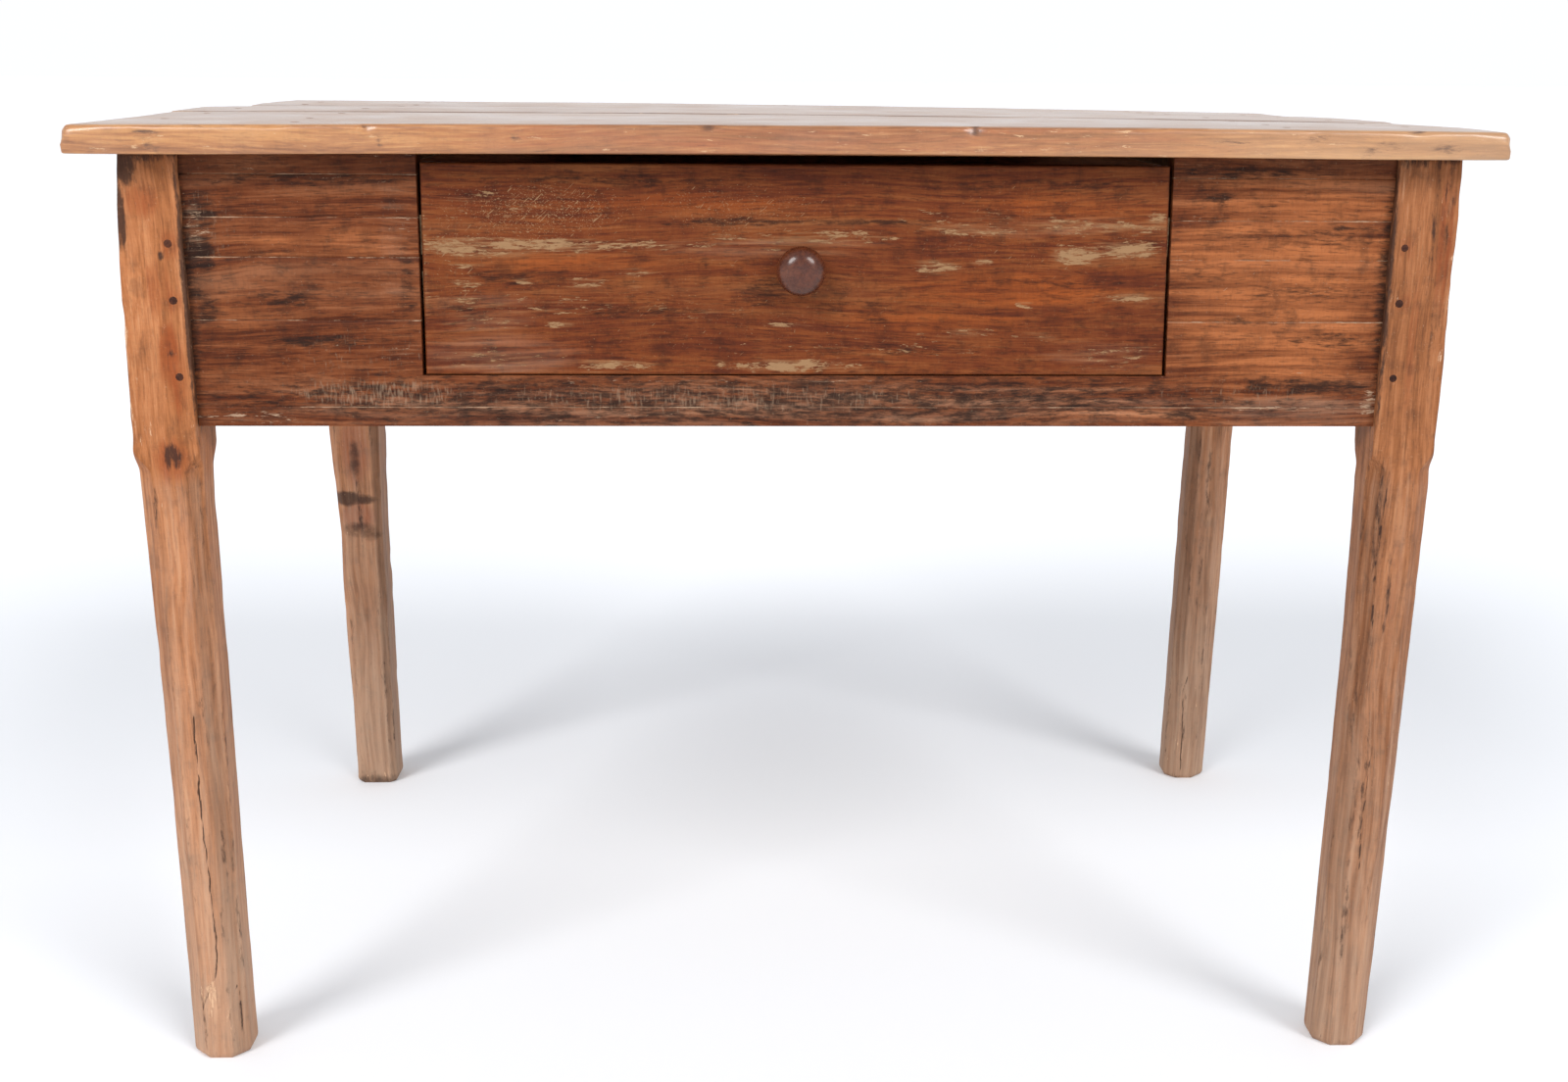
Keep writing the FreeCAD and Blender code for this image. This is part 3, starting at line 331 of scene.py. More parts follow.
# %% [markdown]
# Every hand-planed board has the same build: a block whose skin is a grid, close at the edges, so that wear
# can round an arris, waves can run over a face and a nick can be cut. A cube with a Subdivision Surface would
# round everything alike. Here the skin of a block of cells is taken instead, which also lets a cut-out, or
# the wood beside a tenon, be left out of the block before the skin is made.


# %% Skin of a block of cells
def block_skin(xs, ys, zs, filled=None):
    """Points and outward faces of the skin of a block of cells between these places, in metres."""
    counts = [len(xs) - 1, len(ys) - 1, len(zs) - 1]
    solid = np.zeros([n + 2 for n in counts], bool)
    solid[1:-1, 1:-1, 1:-1] = True if filled is None else filled
    quads = []
    for axis in range(3):
        second, third = (axis + 1) % 3, (axis + 2) % 3
        for side in (0, 1):
            cells = np.argwhere(solid & ~np.roll(solid, 1 - 2 * side, axis)) - 1
            corners = [(0, 0), (1, 0), (1, 1), (0, 1)]
            quad = np.zeros((len(cells), 4, 3), int)
            for turn, (p, q) in enumerate(corners if side else corners[::-1]):
                quad[:, turn, axis] = cells[:, axis] + side
                quad[:, turn, second] = cells[:, second] + p
                quad[:, turn, third] = cells[:, third] + q
            quads.append(quad)
    quads = np.concatenate(quads)
    grid = [n + 1 for n in counts]
    used, faces = np.unique(np.ravel_multi_index(quads.reshape(-1, 3).T, grid), return_inverse=True)
    i, j, k = np.unravel_index(used, grid)
    return np.stack([np.asarray(xs)[i], np.asarray(ys)[j], np.asarray(zs)[k]], 1), faces.reshape(-1, 4)


def places_along(low, high, step, edge):
    """Places along a board in metres: three close together at each arris, then evenly spaced."""
    close = edge * np.array([0, 0.3, 0.63])
    count = max(2, round((high - low - 2 * edge) / step) + 1)
    return np.concatenate([low + close, np.linspace(low + edge, high - edge, count), high - close[::-1]])


print("a block of one cell has", len(block_skin([0, 1], [0, 1], [0, 1])[1]), "faces")


# %% Waves, worn arrises and marks
# How far a mark reaches into the wood, in mm, unless its row says otherwise.
MARK_DEPTH = 9


def fade(distance, reach):
    """1 at a place and 0 from this reach on, in the unit of the distance."""
    return np.clip(1 - distance / reach, 0, 1)


def ripple(points, size, seed):
    """Smooth noise from -1 to 1 at each point, with waves of about this size in mm along each axis."""
    scaled = points / (np.array(size) * MM) + seed * 7.31
    return np.array([noise.noise(p) for p in scaled.tolist()])


def soften(points, low, high, radius):
    """Rolls the arrises of a block over, by a radius that may differ from point to point."""
    radius = np.asarray(radius)[:, None]
    core = np.clip(points, np.array(low) + radius, np.array(high) - radius)
    out = points - core
    length = np.linalg.norm(out, axis=1, keepdims=True)
    return core + out / np.maximum(length, 1e-9) * radius


def spots(points, marks):
    """How strongly each point is marked by soft spots of (x, y, z, their three reaches, strength), in mm."""
    total = np.zeros(len(points))
    for mark in marks:
        away = (points / MM - np.array(mark[:3])) / np.array(mark[3:6])
        total = np.maximum(total, mark[6] * np.exp(-(away ** 2).sum(1) ** 2))
    return total


def on_face(rows, face, turned=False):
    """Spots on a face at one depth, from rows of (along, up, reach along, reach up, strength) in mm. A sixth
    number is the reach into the wood, where it isn't MARK_DEPTH. A turned face looks to the left or right."""
    found = []
    for along, up, reach_along, reach_up, strength, *into in rows:
        place, reach = (along, face), (reach_along, *(into or [MARK_DEPTH]))
        if turned:
            place, reach = place[::-1], reach[::-1]
        found.append((*place, up, *reach, reach_up, strength))
    return found


print("half way along its reach a fade is", fade(5, 10))


# %% A finished piece
def bmesh_of(points, faces):
    """A bmesh with these points and faces."""
    mesh = bmesh.new()
    verts = [mesh.verts.new(p) for p in points]
    for face in faces:
        mesh.faces.new([verts[i] for i in face])
    return mesh


def round_arrises(mesh, edges, radius, segments, clamped=False):
    """Rounds these edges of a bmesh, by a radius in millimetres."""
    bmesh.ops.bevel(mesh, geom=edges, offset=radius * MM, offset_type="OFFSET", segments=segments,
                    profile=0.5, affect="EDGES", clamp_overlap=clamped)


def points_and_faces(mesh):
    """A bmesh as arrays, and frees it."""
    mesh.verts.index_update()
    points = np.array([v.co for v in mesh.verts])
    faces = [[v.index for v in face.verts] for face in mesh.faces]
    mesh.free()
    return points, faces


def add_piece(name, points, faces, material, body, nodes, marks=None, sharp=40):
    """A mesh piece that stands for CAD nodes and rides on a body. Marks are attributes for its material."""
    mesh = bpy.data.meshes.new(name)
    mesh.from_pydata(np.asarray(points).tolist(), [], [list(face) for face in faces])
    mesh.materials.append(material)
    for attribute, values in (marks or {}).items():
        layer = mesh.attributes.new(attribute, "FLOAT", "POINT")
        layer.data.foreach_set("value", np.asarray(values, np.float32))
    mesh.polygons.foreach_set("use_smooth", [True] * len(mesh.polygons))
    mesh.set_sharp_from_angle(angle=math.radians(sharp))
    mesh.update()
    piece = bpy.data.objects.new(name, mesh)
    scene.collection.objects.link(piece)
    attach(piece, body)
    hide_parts(*nodes)
    print(name, len(mesh.vertices), "points,", len(mesh.polygons), "faces")
    return piece


# %% [markdown]
# The top is three planks that shrank and warped apart from each other, so no two are level and their left
# ends don't line up. A flat box would lose that. The height of each upper face is given at the left and the
# right end, as pairs of the place behind the table's middle and the height. Between its ends a face bows up a
# little. The front edge is worn round, with nicks where it was knocked.

# %% Heights and marks of the planks
PLANK_HEIGHTS = {
    "front": ([(-352, 778.6), (-233, 780.4), (-165, 781.6), (-110, 782.9), (-98, 781.9)],
              [(-352, 778.9), (-274, 779.6), (-197, 779.5), (-135, 778.8), (-98, 778.7)]),
    "middle": ([(-97, 783.3), (-49, 784.5), (-7, 785.4), (72, 784.3), (169, 783.2)],
               [(-97, 778.9), (-76, 779.7), (64, 779.7), (169, 778.5)]),
    "rear": ([(170, 783.5), (224, 785.3), (303, 786.2), (352, 786.0)],
             [(170, 778.1), (254, 777.5), (352, 778.1)])}
# How far the planks bow upwards at the middle of their length, in mm.
PLANK_BOW = 2.4
# Pairs of a place along the front edge and how far its lower arris stands above the solid there, in mm.
EDGE_FOOT = [(-530, -1.4), (-440, -1.2), (-300, 0), (-50, 1.3), (100, 1.3), (300, 0.5), (430, -0.5),
             (540, -0.5)]
# Nicks in the front edge: place along it, height, reach along, reach up, depth, all in mm.
EDGE_NICKS = [(138, 778, 5, 4, 2.4), (-201, 770, 4, 2.5, 1.6), (-309, 778, 3, 3, 2.2), (-467, 766, 5, 3, 2.2),
              (-476, 771, 3, 3, 1.4), (-461, 761, 4, 3, 1.8), (-409, 764, 7, 2, 1.2), (395, 772, 6, 4, 1.3),
              (-60, 779, 9, 2, 1.6), (262, 779, 12, 2, 1.5), (-380, 779, 11, 2, 1.4), (470, 779, 8, 2.5, 1.8)]
# Dark spots on the upper faces and on the front edge, and how much darker one plank is than the next.
TOP_STAINS = [(380, -180, 778, 70, 9, 40, 0.65), (-250, 40, 784, 90, 10, 40, 0.6),
              (120, 240, 782, 70, 14, 40, 0.6), (-60, -240, 780, 110, 8, 40, 0.55),
              (300, 90, 779, 80, 12, 40, 0.6), (-380, 280, 785, 50, 16, 40, 0.6),
              (395, -352, 771, 14, 6, 5, 0.42), (440, -352, 768, 16, 6, 6, 0.42),
              (492, -352, 764, 16, 8, 8, 0.5), (330, -352, 770, 14, 6, 6, 0.4),
              (-472, -352, 773, 14, 6, 2, 0.9), (-300, -352, 768, 3, 6, 6, 0.7)]
PLANK_GRIME = {"front": 0, "middle": 0.3, "rear": 0.15}
print(len(EDGE_NICKS), "nicks and", len(TOP_STAINS), "stains")

# %% Planks
# The grid is close in a strip along each arris and has even steps elsewhere, in mm.
PLANK_CLOSE, STEP_ACROSS, STEP_UP = 5, 8, 4
# How far arrises are rounded at a seam, more at an outer edge, at most below, and more at the front corners.
SEAM_RADIUS, USED_RADIUS, LOWER_RADIUS = 1.3, 3.0, 1.4
CORNER_RADIUS, LOWER_CORNER_RADIUS = 4, 1.5
USED_REACH, CORNER_REACH, LOWER_ZONE = 30, 60, 8
# How deep the wear of the front edge goes, how far its left corner stands out, and which nicks are dark.
EDGE_DEPTH, CORNER_OUT, DARK_NICK = 14, 3.2, 1.5


def plank_top(x, y, name):
    """Height of a plank's upper face at a place, in metres."""
    left, right = (np.interp(y / MM, *zip(*end)) for end in PLANK_HEIGHTS[name])
    low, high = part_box(f"top_plank_{name}")
    share = np.clip((x - low.x) / (high.x - low.x), 0, 1)
    return (left + (right - left) * share + PLANK_BOW * 4 * share * (1 - share)) * MM


def worn_radius(points, low, high, seed):
    """Seams are cut square, outer edges are rolled over by use, and the front corners most of all."""
    x, y, z = points.T
    to_end = np.minimum(x - low[0], high[0] - x)
    to_side = np.minimum(y - cad_box[0][1], cad_box[1][1] - y)
    used = fade(np.minimum(to_end, to_side), USED_REACH * MM)
    radius = SEAM_RADIUS + used * (USED_RADIUS + 0.8 * ripple(points, (55, 55, 55), seed))
    upper = z > low[2] + LOWER_ZONE * MM
    radius = np.where(upper, radius, np.minimum(radius, LOWER_RADIUS))
    corner = fade(to_end, USED_REACH * MM) * fade(y - cad_box[0][1], CORNER_REACH * MM)
    return (radius + corner * np.where(upper, CORNER_RADIUS, LOWER_CORNER_RADIUS)) * MM


def wear_front_edge(points, along, across, low, share, seed):
    """Makes the front edge waver, moves its left corner out and cuts its nicks. Gives the marks of it."""
    near = fade(across - low[1], EDGE_DEPTH * MM)
    x = along / MM
    points[:, 1] += near * (0.9 + 0.9 * ripple(points, (130, 400, 30), seed + 3)) * MM
    points[:, 2] += near * (1 - share) * np.interp(x, *zip(*EDGE_FOOT)) * MM
    corner = fade(across - low[1], 150 * MM) * fade(along - low[0], 80 * MM)
    points[:, 0] -= CORNER_OUT * MM * corner
    stain_and_shade = np.zeros(len(points))
    for place, height, reach, rise, depth in EDGE_NICKS:
        dent = np.exp(-((x - place) / reach) ** 2 - ((points[:, 2] / MM - height) / rise) ** 2) * near
        points[:, 1] += dent * depth * MM
        stain_and_shade = np.maximum(stain_and_shade, dent * (depth > DARK_NICK))
    # The front edge grows paler towards its right end.
    return {"stain_and_shade": stain_and_shade, "worn": near * (0.25 + 0.3 * ripple(points, (60, 60, 12), seed + 4)),
            "rust": near * 0.6 * np.exp(-((x - 20) / 330) ** 4),
            "lightened": near * np.interp(x, (100, 420), (0, 0.78)),
            "grime_and_shade": near * np.interp(x, (380, 520), (0, 0.6))}


def add_plank(name, step, seed):
    low, high = (np.array(corner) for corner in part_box(f"top_plank_{name}"))
    close = PLANK_CLOSE * MM
    levels = places_along(low[2] + 2 * MM, high[2], STEP_UP * MM, close)[3:]
    points, faces = block_skin(places_along(low[0], high[0], step * MM, close),
                               places_along(low[1], high[1], STEP_ACROSS * MM, close),
                               np.concatenate([[low[2], low[2] + 1 * MM], levels]))
    points = soften(points, low, high, worn_radius(points, low, high, seed))
    share = (points[:, 2] - low[2]) / (high[2] - low[2])
    waves = 0.35 * ripple(points, (160, 45, 400), seed + 1) - 0.4
    crest = plank_top(points[:, 0], points[:, 1], name) + waves * MM
    points[:, 2] = low[2] + share * (np.minimum(crest, cad_box[1][2] - 0.05 * MM) - low[2])
    # The ends were cut by hand, so they waver.
    along, across = points[:, 0].copy(), points[:, 1].copy()
    middle = (low[0] + high[0]) / 2
    pull = np.abs(along - middle) / (high[0] - middle)
    waver = 1.0 + ripple(points, (400, 50, 14), seed + 2)
    points[:, 0] -= np.sign(along - middle) * pull ** 60 * waver * 0.9 * MM
    if name == "front":
        marks = wear_front_edge(points, along, across, low, share, seed)
    else:
        # The edge that faces the seam in front is dark with dirt.
        marks = {"stain_and_shade": np.where(across < low[1] + 1.5 * MM, 1.6, 0), "worn": 0,
                 "grime_and_shade": np.zeros(len(points))}
    marks["stain_and_shade"] = np.maximum(marks["stain_and_shade"], spots(points, TOP_STAINS))
    marks["grime_and_shade"] = PLANK_GRIME[name] + marks["grime_and_shade"]
    rubbed = 0.3 + 0.3 * ripple(points, (260, 60, 400), seed + 5)
    marks["worn"] = np.clip(np.maximum(marks["worn"], rubbed), 0, 1)
    marks["dust"] = np.where(share > 0.97, 0.55, 0)
    return add_piece(f"worn_plank_{name}", points, faces, top_wood, "frame",
                     [f"top_plank_{name}"], marks)


planks = {name: add_plank(name, step, 11 + 10 * number)
          for number, (name, step) in enumerate((("front", 3.5), ("middle", 8), ("rear", 8)))}

# %% [markdown]
# Each leg is one stick: square where the aprons enter it, then chamfered on all four corners, so that it
# runs to the floor as a slim octagon. Stops at the foot of the block end the chamfers. The leg is a stack of
# rings, and a ring is an octagon whose chamfers are almost nothing in the block. A Bevel could not change its
# width along the leg. The feet lean a little, and that is measured from the solid. Cracks are cut into the
# rings.

# %% Rings of a leg
# Heights where the chamfers end and where they are full, half widths, chamfers and rounded ends, in mm.
BLOCK_FOOT, CHAMFER_FULL = 531.5, 511.5
LEG_HALF, FOOT_HALF, BLOCK_CHAMFER, FOOT_CHAMFER_LESS = 24, 22, 1.0, 0.5
CHAMFERS = {"front_left": 12, "front_right": 12, "rear_right": 12, "rear_left": 6.5}
FLAT_STEPS, CHAMFER_STEPS = 24, 8
FOOT_ROUND, FOOT_ROUND_RISE, TOP_ROUND, TOP_ROUND_DROP = 2.2, 6, 0.8, 1.2


def leg_ring(half, chamfer, worn):
    """Points round a square with chamfered corners, each of its eight arrises rubbed round by about worn."""
    inner = half - chamfer
    corners = [(-inner, -half), (inner, -half), (half, -inner), (half, inner),
               (inner, half), (-inner, half), (-half, inner), (-half, -inner)]
    ring = []
    for number, start in enumerate(corners):
        start, end = np.array(start), np.array(corners[(number + 1) % 8])
        steps = CHAMFER_STEPS if number % 2 else FLAT_STEPS
        length = np.linalg.norm(end - start)
        trim = min(0.42 * worn, 0.45 * length) / length
        ring += [start + (end - start) * share for share in np.linspace(trim, 1 - trim, steps + 1)]
        ring.append(end * (1 - 0.085 * worn / half))
    return np.array(ring)


def leg_rings(name, foot_middle, block_middle, top, seed):
    """The rings of a leg in millimetres, closer together at its foot, at its stops and at its top."""
    heights = np.concatenate([[0, 0.5, 1.2, 2.4, 4, 6], np.arange(9, 500, 3.3), np.arange(502, 540, 1.9),
                              np.arange(541, top - 3, 3.3), [top - 1.2, top - 0.4, top]])
    rings = []
    for z in heights:
        down = fade(z, CHAMFER_FULL)
        run_out = np.clip((BLOCK_FOOT - z) / (BLOCK_FOOT - CHAMFER_FULL), 0, 1)
        run_out = run_out * run_out * (3 - 2 * run_out)
        half = LEG_HALF + (FOOT_HALF - LEG_HALF) * down
        half -= FOOT_ROUND * fade(z, FOOT_ROUND_RISE) ** 2 + TOP_ROUND * fade(top - z, TOP_ROUND_DROP)
        chamfer = BLOCK_CHAMFER + (CHAMFERS[name] - BLOCK_CHAMFER) * run_out - FOOT_CHAMFER_LESS * down
        worn = 1.5 + 0.9 * noise.noise((0, seed, z / 40))
        ring = leg_ring(half, chamfer, worn) + block_middle + (foot_middle - block_middle) * down
        rings.append(np.column_stack([ring, np.full(len(ring), z)]))
    return np.array(rings)


print("a ring has", len(leg_ring(LEG_HALF, BLOCK_CHAMFER, 1)), "points")

# %% Marks, cracks and sides of the legs
# Marks of each leg and the depth of the face that they lie on, in mm, as the photograph shows them.
LEG_FACES = {"front_left": -326, "front_right": -326, "rear_right": 278, "rear_left": 278}
# In the stain rows of the front legs, the band at the top of each block, at 757, is painted shadow of the top
# with some dirt. The line at each leg's inner edge, at 655, is painted shade of its joint with the apron.
LEG_MARKS = {
    "front_left": {
        "stain_and_shade": [(-458, 655, 2.6, 110, 1.1, 60), (-497, 751, 11, 18, 1.4, 30), (-503, 715, 6, 28, 1.2, 30),
                  (-479, 526, 8, 11, 1), (-480, 757, 40, 6, 1, 90), (-466, 688, 4, 6, 0.6),
                  (-474, 681, 3.4, 3.4, 1), (-471, 607, 3.6, 3.6, 1), (-462, 470, 3, 60, 0.7),
                  (-463, 330, 3, 70, 0.75), (-467, 190, 2.5, 50, 0.7)],
        "rust": [(-486, 722, 16, 14, 0.85, 20), (-470, 590, 9, 40, 1, 20), (-478, 655, 12, 24, 0.7, 20),
                 (-474, 604, 8, 30, 1.5, 20), (-466, 690, 7, 14, 0.8, 20), (-467, 648, 7, 12, 0.8, 20),
                 (-479, 524, 15, 22, 1.1, 20), (-475, 440, 5, 60, 0.5, 20)],
        "worn": [(-488, 55, 9, 24, 0.95), (-470, 40, 7, 22, 0.5), (-505, 620, 3, 60, 0.6, 20),
                 (-505, 560, 4, 25, 0.6, 20)]},
    "front_right": {
        "stain_and_shade": [(466, 655, 2.6, 110, 1, 60), (474, 470, 3, 55, 0.7), (470, 330, 3, 60, 0.65),
                  (497, 700, 2, 55, 0.7), (506, 725, 5, 34, 0.55), (480, 757, 40, 6, 0.9, 90),
                  (487, 420, 2.5, 60, 0.6), (482, 240, 2.5, 60, 0.6), (476, 120, 3, 40, 0.7),
                  (503, 620, 3, 40, 0.5)],
        "rust": [(505, 690, 8, 60, 0.95, 20), (488, 610, 5, 60, 0.7, 20), (478, 690, 7, 12, 0.7, 20),
                 (478, 648, 7, 10, 0.7, 20), (490, 420, 6, 70, 0.6, 20)],
        "worn": [(512, 640, 3, 90, 0.5, 20), (505, 300, 4, 90, 0.45, 20), (470, 30, 12, 16, 0.4, 12)]},
    "rear_left": {
        "smear": [(-495, 348, 19, 10, 1.25, 20), (-474, 347, 15, 7.5, 1.1, 20),
                  (-482, 311, 25, 11, 0.9, 20), (-470, 305, 14, 10, 0.85, 20), (-482, 396, 8, 28, 0.9),
                  (-478, 0, 40, 14, 0.85, 30)],
        "stain_and_shade": [(-480, 345, 3, 50, 0.6)],
        "rust": [(-476, 210, 10, 50, 0.6, 20), (-482, 405, 18, 44, 1.4, 20), (-482, 328, 20, 18, 1.8, 20)],
        "worn": [(-490, 8, 10, 10, 0.6), (-470, 14, 8, 10, 0.5)]},
    "rear_right": {
        "stain_and_shade": [(492, 360, 3, 60, 0.55), (488, 240, 3, 60, 0.5), (480, 60, 2.5, 60, 0.5),
                  (470, 300, 3, 40, 0.6)],
        "rust": [(484, 300, 8, 90, 0.5, 20)],
        "worn": [(476, 40, 8, 24, 0.4)]}}
# A crack is a line of (place along x, height) on the front of the leg, its half width and its depth, in mm.
LEG_CRACKS = {
    "front_left": [([(-481, 310), (-482, 226), (-480, 165), (-479, 110), (-481.5, 80), (-489, 65),
                     (-496, 46)], 0.8, 1.6),
                   ([(-467, 66), (-466, 44), (-465.5, 20)], 0.7, 1.2),
                   ([(-498, 735), (-500, 690)], 0.8, 1.2)],
    "front_right": [([(478, 500), (475, 430), (477, 380)], 0.5, 0.6),
                    ([(486, 280), (483, 210), (485, 170)], 0.5, 0.5)],
    "rear_left": [],
    "rear_right": [([(482, 130), (477, 112), (479, 60), (480, 2)], 0.7, 1.2)]}
# The legs weathered differently: how dark and how dusty each one is, how much its inner front chamfer is
# darkened by painted shade and grime, and how much darker its foot is.
LEG_GRIME_AND_SHADE = {"front_left": (0, 0.36, 0.5, 0.2), "front_right": (0.66, 0.26, 0.35, 0.2),
             "rear_left": (0.36, 0.36, 0.8, 0.4), "rear_right": (0.62, 0.34, 0.6, 0.45)}
# No leg was hewn quite true. How far its left and its right side stand out from the solid, as pairs of a
# height and a distance in mm.
LEG_SIDES = {
    "front_left": ([(0, 3.3), (60, 3.1), (160, 2.3), (330, 1.8), (450, 2.5), (520, 3.2), (551, 2.4),
                    (573, 1.2), (646, 0.2), (675, -0.5), (704, -2), (718, -2.7), (733, -4.2), (758, -6)],
                   [(0, 0.2), (60, -0.6), (200, -1.2), (500, -1.2), (531, 0), (640, 0.8), (758, 1.4)]),
    "front_right": ([(0, 1), (80, 0.8), (200, 0.2), (350, -0.4), (450, 0.3), (500, 1.6), (531, 1),
                     (758, 0.5)],
                    [(0, 1), (60, 1.6), (150, 2), (300, 2.4), (500, 2.5), (540, 0.2), (573, 1), (617, 1.2),
                     (650, 0.4), (690, 1.3), (725, 1.7), (758, 0.4)]),
    "rear_left": ([(0, 1.4), (100, 0.6), (160, 1.6), (250, 1.6), (305, -0.2), (334, 1.2), (392, 3.6),
                   (430, 4.8), (531, 5), (758, 3)],
                  [(0, 1.2), (100, 0.5), (250, 1.4), (305, 0.6), (392, 2.4), (430, 3.6), (531, 3), (560, 0),
                   (758, 0)]),
    "rear_right": ([(0, -0.4), (98, -1.6), (219, -2.6), (334, -3.2), (420, -4.6), (531, -3), (560, 0),
                    (758, 0)],
                   [(0, 4.9), (98, 5), (219, 6), (420, 6), (531, 5), (758, 3)])}
print(sum(len(lines) for lines in LEG_CRACKS.values()), "cracks in the legs")

# %% Legs
# How soon the shank's look begins below the block, how high dirt rises, and how wide it lines an arris.
SHANK_FADE, FOOT_DIRT_RISE, ARRIS_DIRT = 30, 480, 2.4
# How far from the leg's middle chips begin in its arrises, over how far they grow, and how deep they get.
CHIPS_FROM, CHIPS_OVER, CHIP_DEPTH = 23.4, 6, 2.6


def leg_marks(name, points, outward, chips, shank, seed):
    """Spots, dust and grime of a leg, with painted shade and grime on its inner front chamfer, and dirt along
    its arrises in long broken lines. Some spots are painted shade too.
    """
    rows = LEG_MARKS[name]
    marks = {kind: spots(points * MM, on_face(rows.get(kind, []), LEG_FACES[name]))
             for kind in ("stain_and_shade", "smear", "rust", "worn")}
    marks["worn"] = np.maximum(marks["worn"], np.clip(chips, 0, 0.5))
    grime_and_shade, dust, inner_shade_and_grime, foot_grime = LEG_GRIME_AND_SHADE[name]
    lower = fade(points[:, 2], FOOT_DIRT_RISE)
    marks["dust"] = dust * shank + 0.34 * lower
    # The inner front chamfer, which faces the middle of the table, gets painted shade with some grime.
    side = -1 if name.endswith("left") else 1
    inner_middle, inner_reach = LEG_HALF - 0.66 * CHAMFERS[name], 0.58 * CHAMFERS[name]
    inner = np.exp(-((side * outward[:, 0] + inner_middle) / inner_reach) ** 4) * (outward[:, 1] < 0)
    marks["grime_and_shade"] = grime_and_shade + foot_grime * lower + inner_shade_and_grime * shank * inner
    ring = leg_ring(LEG_HALF, CHAMFERS[name], 1)
    arrises = ring[np.cumsum([FLAT_STEPS + 2, CHAMFER_STEPS + 2] * 4) - 1]
    gap = np.tile(np.linalg.norm(ring[:, None] - arrises, axis=2).min(1), len(points) // len(ring))
    broken = np.clip(0.4 + 1.2 * ripple(points * MM, (14, 14, 75), seed + 3), 0, 1)
    marks["stain_and_shade"] = np.maximum(marks["stain_and_shade"], 0.55 * shank * broken * np.exp(-(gap / ARRIS_DIRT) ** 2))
    return marks


def crack_depth(points, line, half_width, seed):
    """How deep each point of a leg lies in a crack, from 0 to 1. A crack wanders and fades here and there."""
    x, _, z = points.T
    line_x, line_z = np.array(sorted(line, key=lambda place: place[1])).T
    wander = 0.9 * np.array([noise.noise((3.3, seed, height / 9)) for height in z])
    fading = np.clip(0.8 + 0.9 * np.array([noise.noise((7.1, seed, height / 16)) for height in z]), 0, 1)
    depth = fade(np.abs(x - np.interp(z, line_z, line_x) - wander), half_width) * fading
    return np.where((z > line_z[0]) & (z < line_z[-1]), depth, 0)


def add_leg(name, seed):
    solid = np.array([v.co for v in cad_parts[f"leg_{name}"].data.vertices]) / MM
    ends = solid[solid[:, 2] < 1], solid[solid[:, 2] > 700]
    foot_middle, block_middle = ((end.min(0) + end.max(0))[:2] / 2 for end in ends)
    rings = leg_rings(name, foot_middle, block_middle, solid[:, 2].max(), seed)
    points = rings.reshape(-1, 3)
    z = points[:, 2]
    # Hand work: long shallow waves and the odd flat, drawn in towards the middle of the leg.
    middles = block_middle + np.outer(fade(z, CHAMFER_FULL), foot_middle - block_middle)
    outward = points[:, :2] - middles
    reach = np.linalg.norm(outward, axis=1)
    sink = 0.35 * ripple(points * MM, (30, 30, 95), seed) + 0.14 * ripple(points * MM, (7, 7, 22), seed + 1)
    chips = np.clip((reach - CHIPS_FROM) / CHIPS_OVER, 0, 1)
    chips *= np.clip(ripple(points * MM, (16, 16, 30), seed + 2) - 0.05, 0, 1)
    points[:, :2] -= outward / reach[:, None] * (sink + CHIP_DEPTH * chips)[:, None]
    left, right = (np.interp(z, *zip(*side)) for side in LEG_SIDES[name])
    shank = np.clip((BLOCK_FOOT - z) / SHANK_FADE, 0, 1)
    points[:, 0] += np.where(outward[:, 0] < 0, left, right) * outward[:, 0] / LEG_HALF
    points[:, 1] += shank * (left + right) / 2 * outward[:, 1] / LEG_HALF
    marks = leg_marks(name, points, outward, chips, shank, seed)
    facing = points[:, 1] < middles[:, 1] - LEG_HALF / 2
    for line, half_width, depth in LEG_CRACKS[name]:
        cut = np.where(facing, crack_depth(points, line, half_width, seed), 0)
        points[:, 1] += cut * depth
        marks["stain_and_shade"] = np.maximum(marks["stain_and_shade"], np.minimum(cut * 2.5, 1.3))
    index = np.arange(len(points)).reshape(rings.shape[:2])
    beside = np.roll(index, -1, axis=1)
    faces = np.stack([index[:-1], beside[:-1], beside[1:], index[1:]], -1).reshape(-1, 4).tolist()
    faces += [index[0][::-1].tolist(), index[-1].tolist()]
    return add_piece(f"worn_leg_{name}", points * MM, faces, leg_wood, "frame", [f"leg_{name}"],
                     marks, 50)


legs = {name: add_leg(name, 41 + number)
        for number, name in enumerate(("front_left", "front_right", "rear_right", "rear_left"))}

# %% [markdown]
# The aprons are boards on edge between the legs, with a tenon at each end. The front one has a U sawn out of
# it for the drawer, so it is one wide board and not a frame of small ones. Lines were scribed along it before
# it was cut, and they run on across the gap. They are shallow grooves in the mesh.

# %% Marks and lines of the aprons
# Heights of the scribed lines, in mm.
SCRIBED = {"front": [742, 710, 680, 632, 564.5], "rear": [700, 600], "left": [705, 640], "right": [690, 622]}
